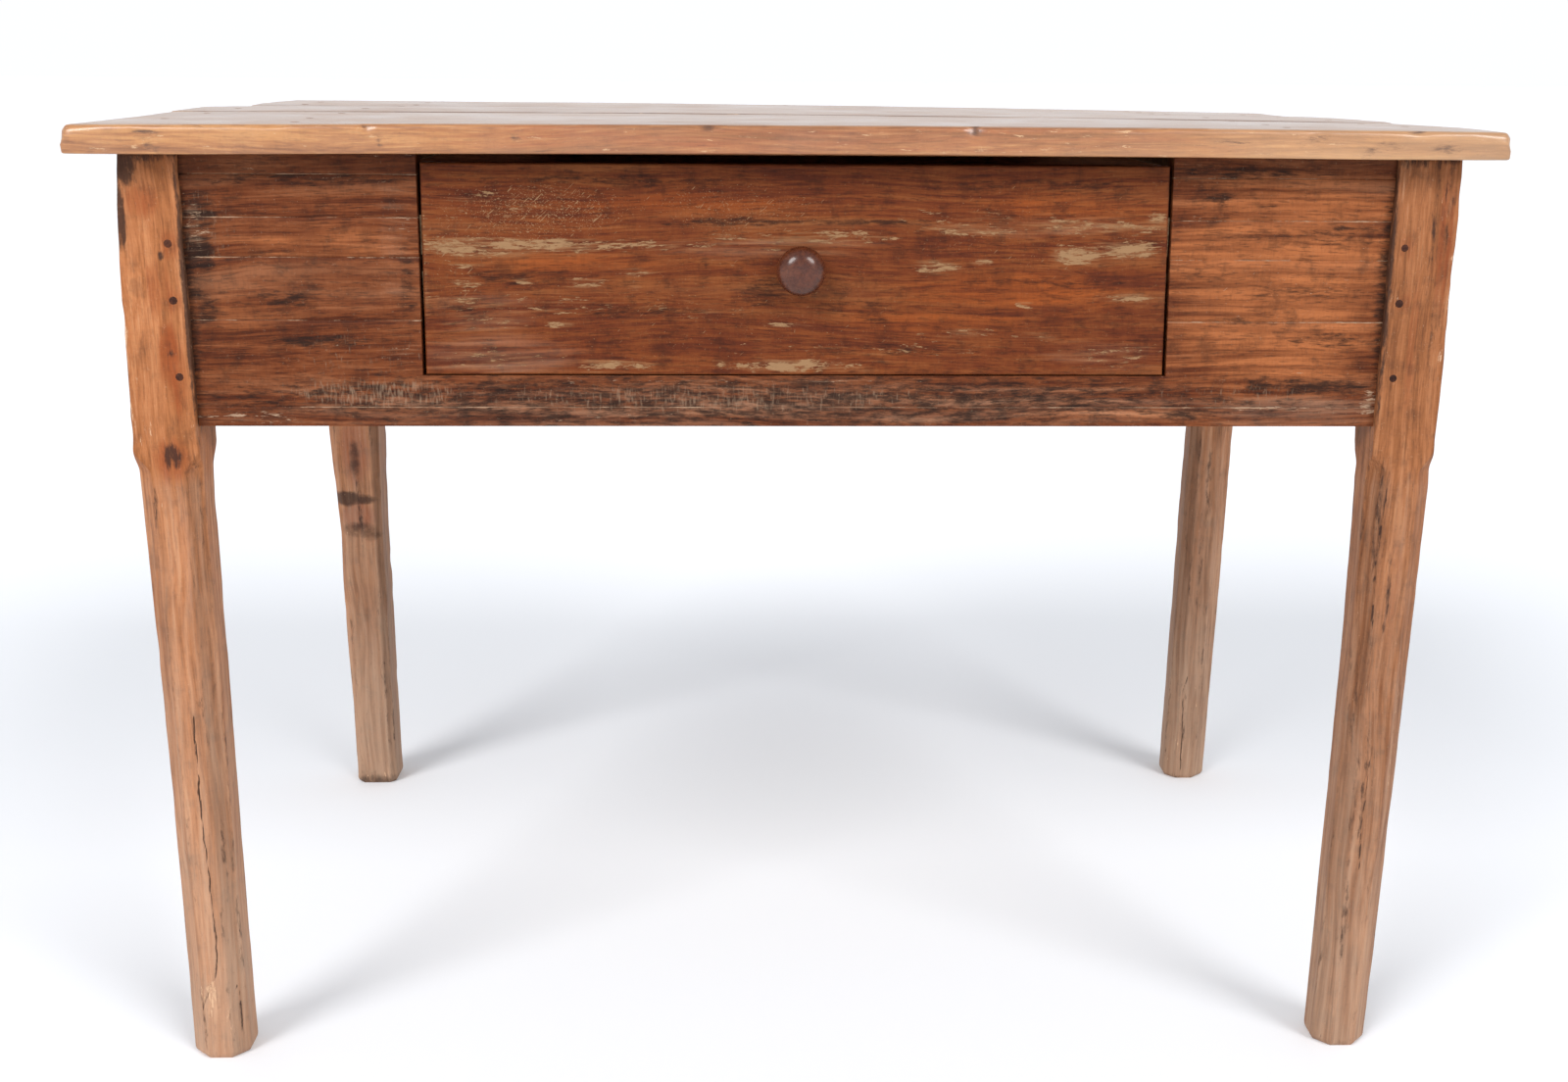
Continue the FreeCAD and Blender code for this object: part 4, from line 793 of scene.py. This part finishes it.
# Depth of the outer face of each apron, and the marks on it, in mm.
FACE = -320
APRON_FACES = {"front": FACE, "rear": 320, "left": -500, "right": 508}
# In the front stain rows, the lines at -456 and 464 are painted shade where the apron meets the legs.
APRON_MARKS = {
    "front": {
        "stain_and_shade": [(-447, 684, 13, 15, 1.3), (-441, 715, 16, 14, 0.9), (-456, 655, 5, 110, 1),
                  (464, 655, 5, 110, 1), (-445, 640, 12, 14, 0.8), (-381, 648, 26, 9, 0.75),
                  (-361, 616, 40, 5, 0.95), (-291, 660, 8, 34, 0.7), (-334, 577, 62, 8, 0.8),
                  (-362, 738, 92, 5, 0.7), (331, 728, 13, 8, 0.85), (367, 720, 10, 6, 0.7),
                  (411, 581, 60, 6, 0.9), (317, 560, 36, 5, 0.85), (371, 582, 12, 8, 1),
                  (-100, 583, 130, 4, 0.6), (120, 575, 120, 7, 0.6), (430, 700, 30, 12, 0.5),
                  (400, 655, 60, 5, 0.6), (-30, 570, 480, 24, 0.75), (365, 698, 50, 4, 0.5),
                  (345, 632, 50, 4, 0.55), (425, 618, 40, 6, 0.7), (350, 747, 80, 6, 0.7),
                  (330, 668, 20, 7, 0.5)],
        "dust": [(-300, 690, 14, 60, 0.2), (-30, 566, 480, 22, 0.3), (400, 562, 80, 14, 0.4)],
        "grime_and_shade": [(-448, 690, 16, 90, 0.6)],
        "scratched": [(385, 660, 90, 90, 0.5), (-380, 690, 70, 70, 0.48)],
        "rust": [(385, 664, 105, 95, 1), (-350, 690, 70, 14, 0.6), (-410, 640, 40, 16, 0.6),
                 (250, 560, 120, 5, 0.6)],
        "worn": [(-448, 706, 8, 24, 0.75), (-300, 607, 15, 14, 0.45), (-288, 705, 8, 5, 0.7),
                 (-410, 557, 55, 6, 0.55), (460, 568, 9, 12, 1), (400, 563, 60, 5, 0.55),
                 (175, 553, 3.5, 3, 1.2), (-150, 556, 120, 4, 0.4), (-60, 586, 160, 2.5, 0.5)],
        "sawn": [(-320, 575, 90, 14, 0.75), (-60, 572, 230, 15, 0.62), (-330, 605, 70, 26, 0.45),
                 (360, 575, 90, 12, 0.5), (-440, 700, 25, 40, 0.5), (-300, 700, 20, 40, 0.4)]},
    "rear": {
        "stain_and_shade": [(-250, 690, 120, 14, 0.7), (200, 600, 140, 9, 0.7)],
        "worn": [(60, 560, 200, 8, 0.6), (-380, 640, 50, 7, 0.7), (310, 700, 60, 5, 0.7)],
        "rust": [(120, 670, 160, 22, 0.6)],
        "sawn": [(0, 590, 300, 30, 0.7)]},
    "left": {
        "stain_and_shade": [(-120, 690, 90, 12, 0.8)],
        "worn": [(60, 566, 120, 8, 0.7)],
        "rust": [(90, 650, 110, 22, 0.6)],
        "sawn": [(0, 590, 220, 24, 0.7)]},
    "right": {
        "stain_and_shade": [(130, 690, 80, 12, 0.8)],
        "worn": [(-60, 562, 130, 7, 0.7)],
        "rust": [(-110, 660, 100, 20, 0.6)],
        "sawn": [(40, 600, 200, 26, 0.7)]}}
print(sum(len(lines) for lines in SCRIBED.values()), "scribed lines")

# %% Blocks of the aprons
# Steps of the grid along and up the board, half the width of a scribed line, the gaps beside and below the
# drawer front, and how far arrises are rounded, in mm.
APRON_STEP, APRON_STEP_UP, LINE_HALF = 6, 4, 0.8
SIDE_GAP, RAIL_GAP = 2.7, 0.8
APRON_ARRIS = 1.3


def opening():
    """Left side, right side and foot of the cut-out round the drawer front, in metres."""
    low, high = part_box("drawer_front")
    return low.x - SIDE_GAP * MM, high.x + SIDE_GAP * MM, low.z - RAIL_GAP * MM


def apron_block(name, along, across):
    """Lowest and highest corner, points and faces of an apron with its tenons, and with the front one's U."""
    solid = np.array([v.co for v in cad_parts[f"{name}_apron"].data.vertices])
    low, high = solid.min(0), solid.max(0)
    # The shoulders are the widest part at the board's face, and the tenon is what runs past them.
    skin = solid[np.abs(solid[:, across] - low[across]) < 1e-4]
    shoulder = skin[:, along].min(), skin[:, along].max()
    tenon = solid[np.abs(solid[:, along] - low[along]) < 1e-4]
    tenon_low, tenon_high = tenon.min(0), tenon.max(0)
    body = np.linspace(*shoulder, round((shoulder[1] - shoulder[0]) / (APRON_STEP * MM)) + 1)
    lift = [low[2], tenon_low[2], tenon_high[2], high[2]]
    lift += [(line + shift) * MM for line in SCRIBED[name] for shift in (-LINE_HALF, 0, LINE_HALF)]
    between = np.arange(low[2], high[2], APRON_STEP_UP * MM)
    lift = sorted(lift + [z for z in between if min(abs(z - known) for known in lift) > 1.9 * MM])
    if name == "front":
        left, right, foot = opening()
        body = [x for x in body if min(abs(x - left), abs(x - right)) > 3 * MM] + [left, right]
        lift = sorted([z for z in lift if abs(z - foot) > 2 * MM] + [foot])
    places = [None, None, np.array(lift)]
    places[along] = np.sort([low[along], *body, high[along]])
    places[across] = np.array([low[across], tenon_low[across], tenon_high[across], high[across]])
    cells = np.meshgrid(*[(place[1:] + place[:-1]) / 2 for place in places], indexing="ij")
    in_tenon = (cells[across] > tenon_low[across]) & (cells[across] < tenon_high[across])
    in_tenon &= (cells[2] > tenon_low[2]) & (cells[2] < tenon_high[2])
    filled = (cells[along] > shoulder[0]) & (cells[along] < shoulder[1]) | in_tenon
    if name == "front":
        filled &= ~((cells[0] > left) & (cells[0] < right) & (cells[2] > foot))
    mesh = bmesh_of(*block_skin(*places, filled))
    arrises = [edge for edge in mesh.edges if edge.calc_face_angle() > 1 and
               any(all(abs(vert.co[across] - level) < 1e-6 for vert in edge.verts)
                   for level in (low[across], high[across]))]
    round_arrises(mesh, arrises, APRON_ARRIS, 3)
    return low, high, *points_and_faces(mesh)


print("sides and foot of the opening in mm:", [round(place / MM, 1) for place in opening()])

# %% Aprons
# How deep a line is scribed, the height where painted shade and grime under the top begin and over how far
# they grow, in mm.
LINE_DEPTH, SHADE_FOOT, SHADE_RISE = 0.55, 722, 30
# The opening is narrower at its top: how far each side leans in there, and how far the wood around follows.
LEAN_LEFT, LEAN_RIGHT, LEAN_REACH = 3.0, -2.6, 60


def lean_sides(points, left, right, rise):
    """Leans the sides of the opening, or the ends of the board in it, towards each other as they rise."""
    for edge, lean in ((left, LEAN_LEFT), (right, LEAN_RIGHT)):
        points[:, 0] += fade(np.abs(points[:, 0] - edge), LEAN_REACH * MM) * rise * lean * MM


def add_apron(name, seed):
    along, across = (0, 1) if name in ("front", "rear") else (1, 0)
    low, high, points, faces = apron_block(name, along, across)
    middle = (low[across] + high[across]) / 2
    inward = np.where(points[:, across] < middle, 1, -1)
    outside = np.abs(points[:, across]) > abs(middle)
    line_gap = np.min([np.abs(points[:, 2] / MM - line) for line in SCRIBED[name]], axis=0)
    scribed = (line_gap < 0.1) & outside
    depth = 0.3 + 0.3 * ripple(points, (110, 110, 45), seed) + 0.1 * ripple(points, (22, 22, 14), seed + 1)
    points[:, across] += inward * np.clip(depth + np.where(scribed, LINE_DEPTH, 0), 0, 2) * MM
    if name == "front":
        left, right, foot = opening()
        lean_sides(points, left, right, np.clip((points[:, 2] - foot) / (high[2] - foot), 0, 1))
    marks = {kind: spots(points, on_face(rows, APRON_FACES[name], along == 1))
             for kind, rows in APRON_MARKS[name].items()}
    faint = 1.1 + 0.6 * ripple(points, (70, 70, 30), seed + 2)
    marks["worn"] = np.maximum(marks["worn"], np.where(scribed, faint, 0))
    # The outer face darkens towards the top: painted shade of the overhang, with some grime. The inner faces
    # are darker all over.
    shaded = 0.6 * np.clip((points[:, 2] / MM - SHADE_FOOT) / SHADE_RISE, 0, 1)
    marks["grime_and_shade"] = np.where(outside, np.maximum(marks.get("grime_and_shade", 0), shaded), 0.8)
    return add_piece(f"worn_{name}_apron", points, faces, apron_wood["xy"[along]], "frame",
                     [f"{name}_apron"], marks, 50)


for number, name in enumerate(("front", "rear", "left", "right")):
    add_apron(name, 61 + number)

# %% [markdown]
# The drawer front has lapped dovetails at its ends, which the solid already has. Drawing them again would
# only copy them, so this piece starts from a merged copy of the solid. Its front arrises are rounded with a
# bevel, it is cut into a grid, and the grid gets the waves and the wear of the board. The same helpers dress
# the other boards of the drawer and the strips inside, which need only a soft arris.


# %% Boards taken from their solids
def merged_copy(node):
    """A bmesh copy of a CAD node with its triangles joined back into whole faces."""
    mesh = bmesh.new()
    mesh.from_mesh(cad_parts[node].data)
    bmesh.ops.remove_doubles(mesh, verts=mesh.verts, dist=1e-6)
    bmesh.ops.dissolve_limit(mesh, angle_limit=math.radians(0.5), verts=mesh.verts, edges=mesh.edges)
    return mesh


def outer_arrises(mesh, low, high, wanted):
    """The edges that lie on two sides of the box round a board, and whose middle is wanted."""
    found = []
    for edge in mesh.edges:
        if len(edge.link_faces) == 2 and edge.calc_face_angle() > 1:
            ends = [[min(abs(vert.co[i] - low[i]), abs(vert.co[i] - high[i])) < 1e-5 for i in range(3)]
                    for vert in edge.verts]
            if sum(a and b for a, b in zip(*ends)) >= 2 and wanted((edge.verts[0].co + edge.verts[1].co) / 2):
                found.append(edge)
    return found


def cut_grid(mesh, low, high, steps, chosen):
    """Cuts the faces whose corners are all chosen by planes across each axis, to be waved and marked."""
    for axis, step in enumerate(steps):
        if step:
            normal = Vector([float(i == axis) for i in range(3)])
            for level in np.arange(low[axis] + step * MM / 2, high[axis], step * MM):
                faces = [face for face in mesh.faces if all(chosen(vert) for vert in face.verts)]
                parts = [part for face in faces for part in (*face.verts, *face.edges)]
                bmesh.ops.bisect_plane(mesh, geom=[*dict.fromkeys(parts), *faces], plane_co=normal * level,
                                       plane_no=normal, dist=1e-6)


whole = merged_copy("drawer_front")
print("the drawer front has", len(whole.faces), "whole faces")
whole.free()

# %% Marks of the drawer front
DRAWER_MARKS = {
    "worn": [(-236, 688, 52, 9, 1.2), (-170, 689, 50, 7, 1.1), (-120, 690, 75, 5, 0.95),
             (-30, 693, 60, 9, 0.6), (-246, 661, 15, 5, 0.95), (-240, 674, 22, 3.5, 0.75),
             (-203, 662, 8, 4, 0.95), (-155, 661, 18, 5, 1.05), (-117, 670, 17, 4, 0.9),
             (-118, 657, 8, 3.5, 0.8), (-175, 629, 14, 4, 0.85), (-135, 597, 36, 7, 0.95),
             (-15, 597, 60, 7, 0.95), (2, 629, 22, 3.5, 0.85), (-235, 602, 58, 9, 0.7),
             (44, 697, 62, 7, 0.8), (140, 702, 42, 6, 0.95), (235, 705, 70, 7, 0.85),
             (284, 711, 11, 8, 0.95), (222, 683, 24, 8, 1.15), (260, 688, 30, 8, 1.15),
             (115, 674, 24, 5, 1.1), (150, 678, 11, 4, 0.95), (262, 651, 36, 4.5, 0.85),
             (183, 645, 9, 3.5, 0.9), (133, 623, 34, 5, 0.75), (193, 620, 28, 4, 0.75),
             (30, 598, 50, 6, 0.9), (255, 605, 42, 12, 0.65), (-279, 680, 5, 75, 0.75, 20),
             (-220, 722, 60, 16, 0.48), (-190, 645, 90, 12, 0.55), (-235, 632, 40, 8, 0.65),
             (150, 712, 70, 8, 0.5), (60, 612, 120, 7, 0.5), (-80, 640, 60, 9, 0.45)],
    "stain_and_shade": [(-40, 708, 66, 3.2, 0.95), (60, 708, 60, 2.8, 0.85), (-18, 655, 20, 13, 0.7),
              (-210, 664, 40, 9, 0.6), (-61, 675, 2.5, 5, 1.2), (190, 735, 90, 6, 0.6),
              (-120, 640, 60, 6, 0.65), (60, 640, 40, 10, 0.5), (-150, 738, 110, 5, 0.6),
              (90, 610, 70, 5, 0.55), (-250, 640, 30, 12, 0.5), (200, 662, 70, 3, 0.6)],
    "rust": [(190, 654, 100, 17, 0.85), (-150, 676, 80, 8, 0.7), (210, 722, 80, 10, 0.7),
             (-60, 722, 90, 9, 0.65), (120, 632, 100, 8, 0.6), (-200, 612, 60, 9, 0.55)],
    "sawn": [(-245, 655, 40, 45, 0.4)],
    "scratched": [(-190, 715, 100, 34, 0.7), (-40, 718, 110, 30, 0.64), (-250, 690, 34, 80, 0.6),
                  (180, 700, 150, 60, 0.54), (-60, 640, 260, 70, 0.52)],
    "dust": [(-225, 607, 75, 18, 0.3), (-20, 688, 120, 10, 0.26), (-235, 640, 55, 20, 0.22),
             (245, 605, 60, 14, 0.22), (200, 705, 100, 9, 0.22)]}
print({kind: len(rows) for kind, rows in DRAWER_MARKS.items()})

# %% Drawer front
# How far its arrises are rounded, the steps of its grid, and how deep behind the face its waves reach, in mm.
DRAWER_ARRIS, FRONT_STEPS, FRONT_WAVE_DEPTH = 1.5, (5, 0, 2.6), 4
# The front leans in at its ends, and less and less towards this depth, behind which it is square, in mm.
SQUARE_BEHIND, LEAN_FADE = -302, 10


def add_drawer_front(seed):
    low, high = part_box("drawer_front")
    mesh = merged_copy("drawer_front")
    facing = outer_arrises(mesh, low, high, lambda middle: middle.y < low.y + 1e-5)
    round_arrises(mesh, facing, DRAWER_ARRIS, 3)
    cut_grid(mesh, low, high, FRONT_STEPS, lambda vert: vert.co.y < low.y + 0.1 * MM)
    points, faces = points_and_faces(mesh)
    front = fade(points[:, 1] - low.y, FRONT_WAVE_DEPTH * MM)
    wave = 0.3 + 0.3 * ripple(points, (120, 400, 40), seed) + 0.12 * ripple(points, (25, 400, 12), seed + 1)
    points[:, 1] += front * np.clip(wave, 0, 1) * MM
    rise = (points[:, 2] - low.z) / (high.z - low.z)
    lap = np.clip((SQUARE_BEHIND * MM - points[:, 1]) / (LEAN_FADE * MM), 0, 1)
    lean_sides(points, low.x, high.x, rise * lap)
    marks = {kind: spots(points, on_face(rows, FACE)) for kind, rows in DRAWER_MARKS.items()}
    # The top edge of the front, in the gap under the top, is darker.
    marks["grime_and_shade"] = np.where(points[:, 2] > high.z - 1 * MM, 1.0, 0.0)
    # The cuts leave the faces in a different order on each run, so they are sorted.
    return add_piece("worn_drawer_front", points, sorted(faces), front_wood, "drawer",
                     ["drawer_front"], marks, 35)


add_drawer_front(71)

# %% Drawer box, runners, guides, stops and cleats
INNER_ARRIS = 0.8
DRAWER_BOX = {"side_left": "y", "side_right": "y", "back": "x"}
DRAWER_BOX.update({f"bottom_board_{number}": "x" for number in (1, 2, 3)})
INNER_BOARDS = [(f"drawer_{part}", dry_wood[grain], "drawer", "drawer_box")
                for part, grain in DRAWER_BOX.items()]
INNER_BOARDS += [(f"{kind}_{side}", strip_wood, "frame", "inner_strips") for side in ("left", "right")
                 for kind in ("drawer_runner", "drawer_guide", "drawer_stop", "top_cleat")]
for node, finish, body, slot in INNER_BOARDS:
    low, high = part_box(node)
    mesh = merged_copy(node)
    size, middle = high - low, (low + high) / 2
    longest = max(range(3), key=lambda axis: size[axis])
    edges = outer_arrises(mesh, low, high,
                          lambda place: abs(place[longest] - middle[longest]) < 0.45 * size[longest])
    if edges:
        round_arrises(mesh, edges, INNER_ARRIS, 2, clamped=True)
    points, faces = points_and_faces(mesh)
    add_piece(f"dressed_{node}", points, faces, finish, body, [node], None, 35)

# %% [markdown]
# The knob was turned on a lathe, so it is a profile spun round its own axis. The profile starts as a few
# corners, and cutting the corners again and again rounds it, which is also what a gouge does. The spigot goes
# through the drawer front, where a wedge holds it.


# %% Profile of the knob
def cut_corners(line, times):
    """Rounds a line of points by cutting each of its corners several times."""
    for _ in range(times):
        line = np.array([line[0]] + [q for a, b in zip(line[:-1], line[1:])
                                     for q in (a * 0.75 + b * 0.25, a * 0.25 + b * 0.75)] + [line[-1]])
    return line


# The head is shown a little wider than its solid. Radii of the neck and the spigot, and its bevel, in mm.
HEAD_WIDER, NECK, SPIGOT, SPIGOT_BEVEL = 1.09, 9.4, 6, 0.8
knob_low, knob_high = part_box("drawer_knob")
knob_x, knob_z = (knob_low.x + knob_high.x) / 2, (knob_low.z + knob_high.z) / 2
knob_radius = (knob_high.x - knob_low.x) / 2 / MM * HEAD_WIDER
nose, tail_end = FACE - knob_low.y / MM, FACE - knob_high.y / MM
# Pairs of how far in front of the drawer and how far from the axis, from the tip to the neck, in mm.
dome = cut_corners(np.array([
    (nose - 0.5, 0), (nose - 0.4, 1.2), (nose + 0.1, 2.6), (nose, 7), (nose - 1.3, 12), (nose - 4.6, 16.2),
    (nose - 8.4, knob_radius + 0.55), (nose - 12.2, knob_radius + 0.2), (nose - 14.4, 13.6),
    (nose - 15.6, 9.3), (nose - 19, 7.9), (3.5, 8.4), (0.9, 9.0), (0.15, NECK)]), 3)
dome[:, 1] *= np.where(dome[:, 1] > NECK, (knob_radius - 0.02) / dome[:, 1].max(), 1)
spigot = np.array([(0.1, SPIGOT), (tail_end + SPIGOT_BEVEL, SPIGOT), (tail_end, SPIGOT - SPIGOT_BEVEL),
                   (tail_end, 0)])
profile = np.concatenate([dome, spigot])
print("the knob is", round(2 * knob_radius, 1), "mm wide and stands", round(nose, 1), "mm out")

# %% Knob
TURNS = 72
points, faces = [], []
for angle in np.arange(TURNS) * 2 * math.pi / TURNS:
    for ahead_mm, away in profile[1:-1]:
        points.append((knob_x + away * MM * math.cos(angle), (FACE - ahead_mm) * MM,
                       knob_z + away * MM * math.sin(angle)))
points += [(knob_x, (FACE - end[0]) * MM, knob_z) for end in (profile[0], profile[-1])]
tip, tail = len(points) - 2, len(points) - 1
per_turn = len(profile) - 2
for turn in range(TURNS):
    here, there = turn * per_turn, (turn + 1) % TURNS * per_turn
    faces += [(here + i, here + i + 1, there + i + 1, there + i) for i in range(per_turn - 1)]
    faces += [(tip, here, there), (tail, there + per_turn - 1, here + per_turn - 1)]
mesh = bmesh_of(points, faces)
bmesh.ops.recalc_face_normals(mesh, faces=mesh.faces)
points, faces = points_and_faces(mesh)
add_piece("turned_knob", points, faces, knob_wood, "drawer", ["drawer_knob"], None, 50)
points, faces = points_and_faces(merged_copy("knob_wedge"))
add_piece("knob_wedge_end", points, faces, peg_wood, "drawer", ["knob_wedge"], None, 35)

# %% [markdown]
# Pegs and nails repeat, so Geometry Nodes set one peg or nail on every place. The places come from the
# solids: each loose part of a peg node is one peg, and its outer end gives the place and the way it points.
# Pegs were split from a block and driven in, so they have few sides, differ in size and stand a hair proud.


# %% Places of the pegs and nails
def loose_parts(node):
    """Lowest and highest corner of each loose part of a CAD node."""
    mesh = merged_copy(node)
    left, boxes = set(mesh.verts), []
    for start in list(mesh.verts):
        if start in left:
            todo, part = [start], []
            left.discard(start)
            while todo:
                vert = todo.pop()
                part.append(vert.co.copy())
                for edge in vert.link_edges:
                    other = edge.other_vert(vert)
                    if other in left:
                        left.discard(other)
                        todo.append(other)
            boxes.append((np.min(part, axis=0), np.max(part, axis=0)))
    mesh.free()
    return boxes


def outer_ends(nodes, up=0):
    """Place and direction of the outer end of every peg or nail in these nodes."""
    places, headings = [], []
    for node in nodes:
        for low, high in loose_parts(node):
            axis = int(np.argmax(high - low))
            sign = up or math.copysign(1, (low + high)[axis])
            heading = np.zeros(3)
            heading[axis] = sign
            place = (low + high) / 2
            place[axis] = high[axis] if sign > 0 else low[axis]
            places.append(place)
            headings.append(heading)
    return np.array(places), np.array(headings)


def on_surface(places, headings, carriers, sunk):
    """Moves each place along its heading to the skin of the piece that carries it, and a little below."""
    for place, heading in zip(places, headings):
        for carrier in carriers:
            start = Vector(place + heading * 30 * MM)
            hit, spot, _, _ = carrier.ray_cast(start, Vector(-heading), distance=50 * MM)
            if hit:
                place[:] = np.array(spot) - heading * sunk
                break
    return places


LEG_PEGS = [f"pegs_{end}_{side}" for end in ("front", "rear") for side in ("left", "right")]
TOP_PEGS = [f"top_pegs_{name}" for name in planks]
leg_places, leg_headings = outer_ends(LEG_PEGS)
top_places, top_headings = outer_ends(TOP_PEGS, up=1)
leg_places = on_surface(leg_places, leg_headings, legs.values(), 0.1 * MM)
top_places = on_surface(top_places, top_headings, planks.values(), 0.25 * MM)
print(len(leg_places), "pegs in the legs,", len(top_places), "in the top")


# %% One peg and one nail
# The crown of a peg is a share of its width. A nail's point and the flat of its head are radii in mm.
PEG_SIDES, CROWN_SHARE = 9, 0.72
NAIL_HEAD_SIDES, NAIL_POINT, NAIL_HEAD_FLAT = 7, 0.3, 0.9


def lowered(tree, shape, distance, share):
    """Moves a shape down by a share of a distance."""
    drop = add(tree, "ShaderNodeMath", {0: distance, 1: -share}, operation="MULTIPLY")
    down = add(tree, "ShaderNodeCombineXYZ", {"Z": drop.outputs[0]})
    moved = add(tree, "GeometryNodeTransform", {"Geometry": shape, "Translation": down.outputs[0]})
    return moved.outputs[0]


def one_nail(tree, given):
    """A square shank that tapers to its point, with a faceted head."""
    shank = add(tree, "GeometryNodeMeshCone", {"Vertices": 4, "Radius Top": given["Radius"],
                                               "Radius Bottom": NAIL_POINT * MM, "Depth": given["Length"]})
    head = add(tree, "GeometryNodeMeshCone", {"Vertices": NAIL_HEAD_SIDES, "Radius Top": NAIL_HEAD_FLAT * MM,
                                              "Radius Bottom": given["Head Radius"],
                                              "Depth": given["Stands Proud"]})
    both = add(tree, "GeometryNodeJoinGeometry",
               {"Geometry": lowered(tree, shank.outputs["Mesh"], given["Length"], 1.0)})
    tree.links.new(lowered(tree, head.outputs["Mesh"], given["Stands Proud"], 1.0), both.inputs[0])
    return both.outputs[0]


def one_peg(tree, given):
    """A stick with few sides, whose crown is a little narrower."""
    stick = add(tree, "GeometryNodeMeshCylinder", {"Vertices": PEG_SIDES, "Radius": given["Radius"],
                                                   "Depth": given["Length"]}, fill_type="NGON")
    raised = add(tree, "GeometryNodeExtrudeMesh", {"Mesh": stick.outputs["Mesh"], "Individual": False,
                                                   "Selection": stick.outputs["Top"],
                                                   "Offset Scale": given["Stands Proud"]})
    crown = add(tree, "GeometryNodeScaleElements", {"Geometry": raised.outputs["Mesh"],
                                                    "Selection": raised.outputs["Top"], "Scale": CROWN_SHARE})
    return lowered(tree, crown.outputs[0], given["Length"], 0.5)


print("a peg has", PEG_SIDES, "sides and a nail's head", NAIL_HEAD_SIDES)


# %% A tree that drives a peg or a nail at every place
INPUTS = {"Places": "Geometry", "Radius": "Float", "Length": "Float", "Head Radius": "Float",
          "Stands Proud": "Float", "Seed": "Int", "Finish": "Material"}
# Each peg is turned by chance about its axis, and is a little narrower or wider than the size that is asked.
FULL_TURN, NARROWEST, WIDEST = 6.28, 0.9, 1.08


def peg_tree(name, one):
    """Geometry Nodes that set one peg or nail on each point, along its heading."""
    tree = bpy.data.node_groups.new(name, "GeometryNodeTree")
    for label, kind in INPUTS.items():
        tree.interface.new_socket(label, in_out="INPUT", socket_type=f"NodeSocket{kind}")
    tree.interface.new_socket("Pegs", in_out="OUTPUT", socket_type="NodeSocketGeometry")
    given = add(tree, "NodeGroupInput").outputs
    heading = add(tree, "GeometryNodeInputNamedAttribute", {"Name": "heading"}, data_type="FLOAT_VECTOR")
    aimed = add(tree, "FunctionNodeAlignRotationToVector", {"Vector": heading.outputs[0]}, axis="Z")
    spin, size = (add(tree, "FunctionNodeRandomValue", {2: least, 3: most, "Seed": given["Seed"]},
                      data_type="FLOAT").outputs[1]
                  for least, most in ((0.0, FULL_TURN), (NARROWEST, WIDEST)))
    about = add(tree, "FunctionNodeAxisAngleToRotation", {"Axis": (0, 0, 1), "Angle": spin})
    turned = add(tree, "FunctionNodeRotateRotation", {0: aimed.outputs[0], 1: about.outputs[0]},
                 rotation_space="LOCAL")
    wide = add(tree, "ShaderNodeCombineXYZ", {"X": size, "Y": size, "Z": 1.0})
    driven = add(tree, "GeometryNodeInstanceOnPoints", {
        "Points": given["Places"], "Instance": one(tree, given), "Rotation": turned.outputs[0],
        "Scale": wide.outputs[0]})
    real = add(tree, "GeometryNodeRealizeInstances", {"Geometry": driven.outputs[0]})
    done = add(tree, "GeometryNodeSetMaterial", {"Geometry": real.outputs[0], "Material": given["Finish"]})
    add(tree, "NodeGroupOutput", {"Pegs": done.outputs[0]})
    return tree


pegs = peg_tree("Riven pegs", one_peg)
nails = peg_tree("Forged nails", one_nail)
print("trees:", pegs.name, "and", nails.name)


# %% Pegs and nails
def drive(name, tree, ends, sizes, seed, material, body, nodes):
    """Runs a tree on ends with their headings, and keeps the result as a plain mesh piece. Sizes in mm."""
    places, headings = ends
    cloud = bpy.data.meshes.new(f"{name}_places")
    cloud.from_pydata(places.tolist(), [], [])
    cloud.attributes.new("heading", "FLOAT_VECTOR", "POINT").data.foreach_set("vector", headings.ravel())
    holder = bpy.data.objects.new(f"{name}_places", cloud)
    scene.collection.objects.link(holder)
    modifier = holder.modifiers.new("drive", "NODES")
    modifier.node_group = tree
    settings = {**{label: value * MM for label, value in sizes.items()}, "Seed": seed, "Finish": material}
    for item in tree.interface.items_tree:
        if item.in_out == "INPUT" and item.name in settings:
            modifier[item.identifier] = settings[item.name]
    evaluated = holder.evaluated_get(bpy.context.evaluated_depsgraph_get())
    mesh = bpy.data.meshes.new_from_object(evaluated)
    holder.modifiers.remove(modifier)
    bpy.data.objects.remove(holder)
    made = np.zeros(len(mesh.vertices) * 3)
    mesh.vertices.foreach_get("co", made)
    faces = [list(polygon.vertices) for polygon in mesh.polygons]
    return add_piece(name, made.reshape(-1, 3), faces, material, body, nodes, None, 30)


# Sizes in mm of each kind of peg and nail.
LEG_PEG = {"Radius": 3.4, "Length": 20, "Stands Proud": 0.4}
TOP_PEG = {"Radius": 4.1, "Length": 18, "Stands Proud": 0.4}
SPRIG = {"Radius": 1.2, "Length": 20, "Stands Proud": 0.1}
GUIDE_NAIL = {"Radius": 1.7, "Length": 26, "Head Radius": 3.5, "Stands Proud": 1.2}
BOTTOM_NAIL = {**GUIDE_NAIL, "Length": 20}
drive("leg_pegs", pegs, (leg_places, leg_headings), LEG_PEG, 5, peg_wood, "frame", LEG_PEGS)
drive("top_pegs", pegs, (top_places, top_headings), TOP_PEG, 6, top_peg_wood, "frame", TOP_PEGS)
drive("guide_nail_heads", nails, outer_ends(["guide_nails"], up=1), GUIDE_NAIL, 7, iron, "frame",
      ["guide_nails"])
drive("bottom_nail_heads", nails, outer_ends(["drawer_bottom_nails"], up=-1), BOTTOM_NAIL, 8, iron, "drawer",
      ["drawer_bottom_nails"])
drive("back_sprigs", pegs, outer_ends(["drawer_back_sprigs"]), SPRIG, 9, iron, "drawer",
      ["drawer_back_sprigs"])
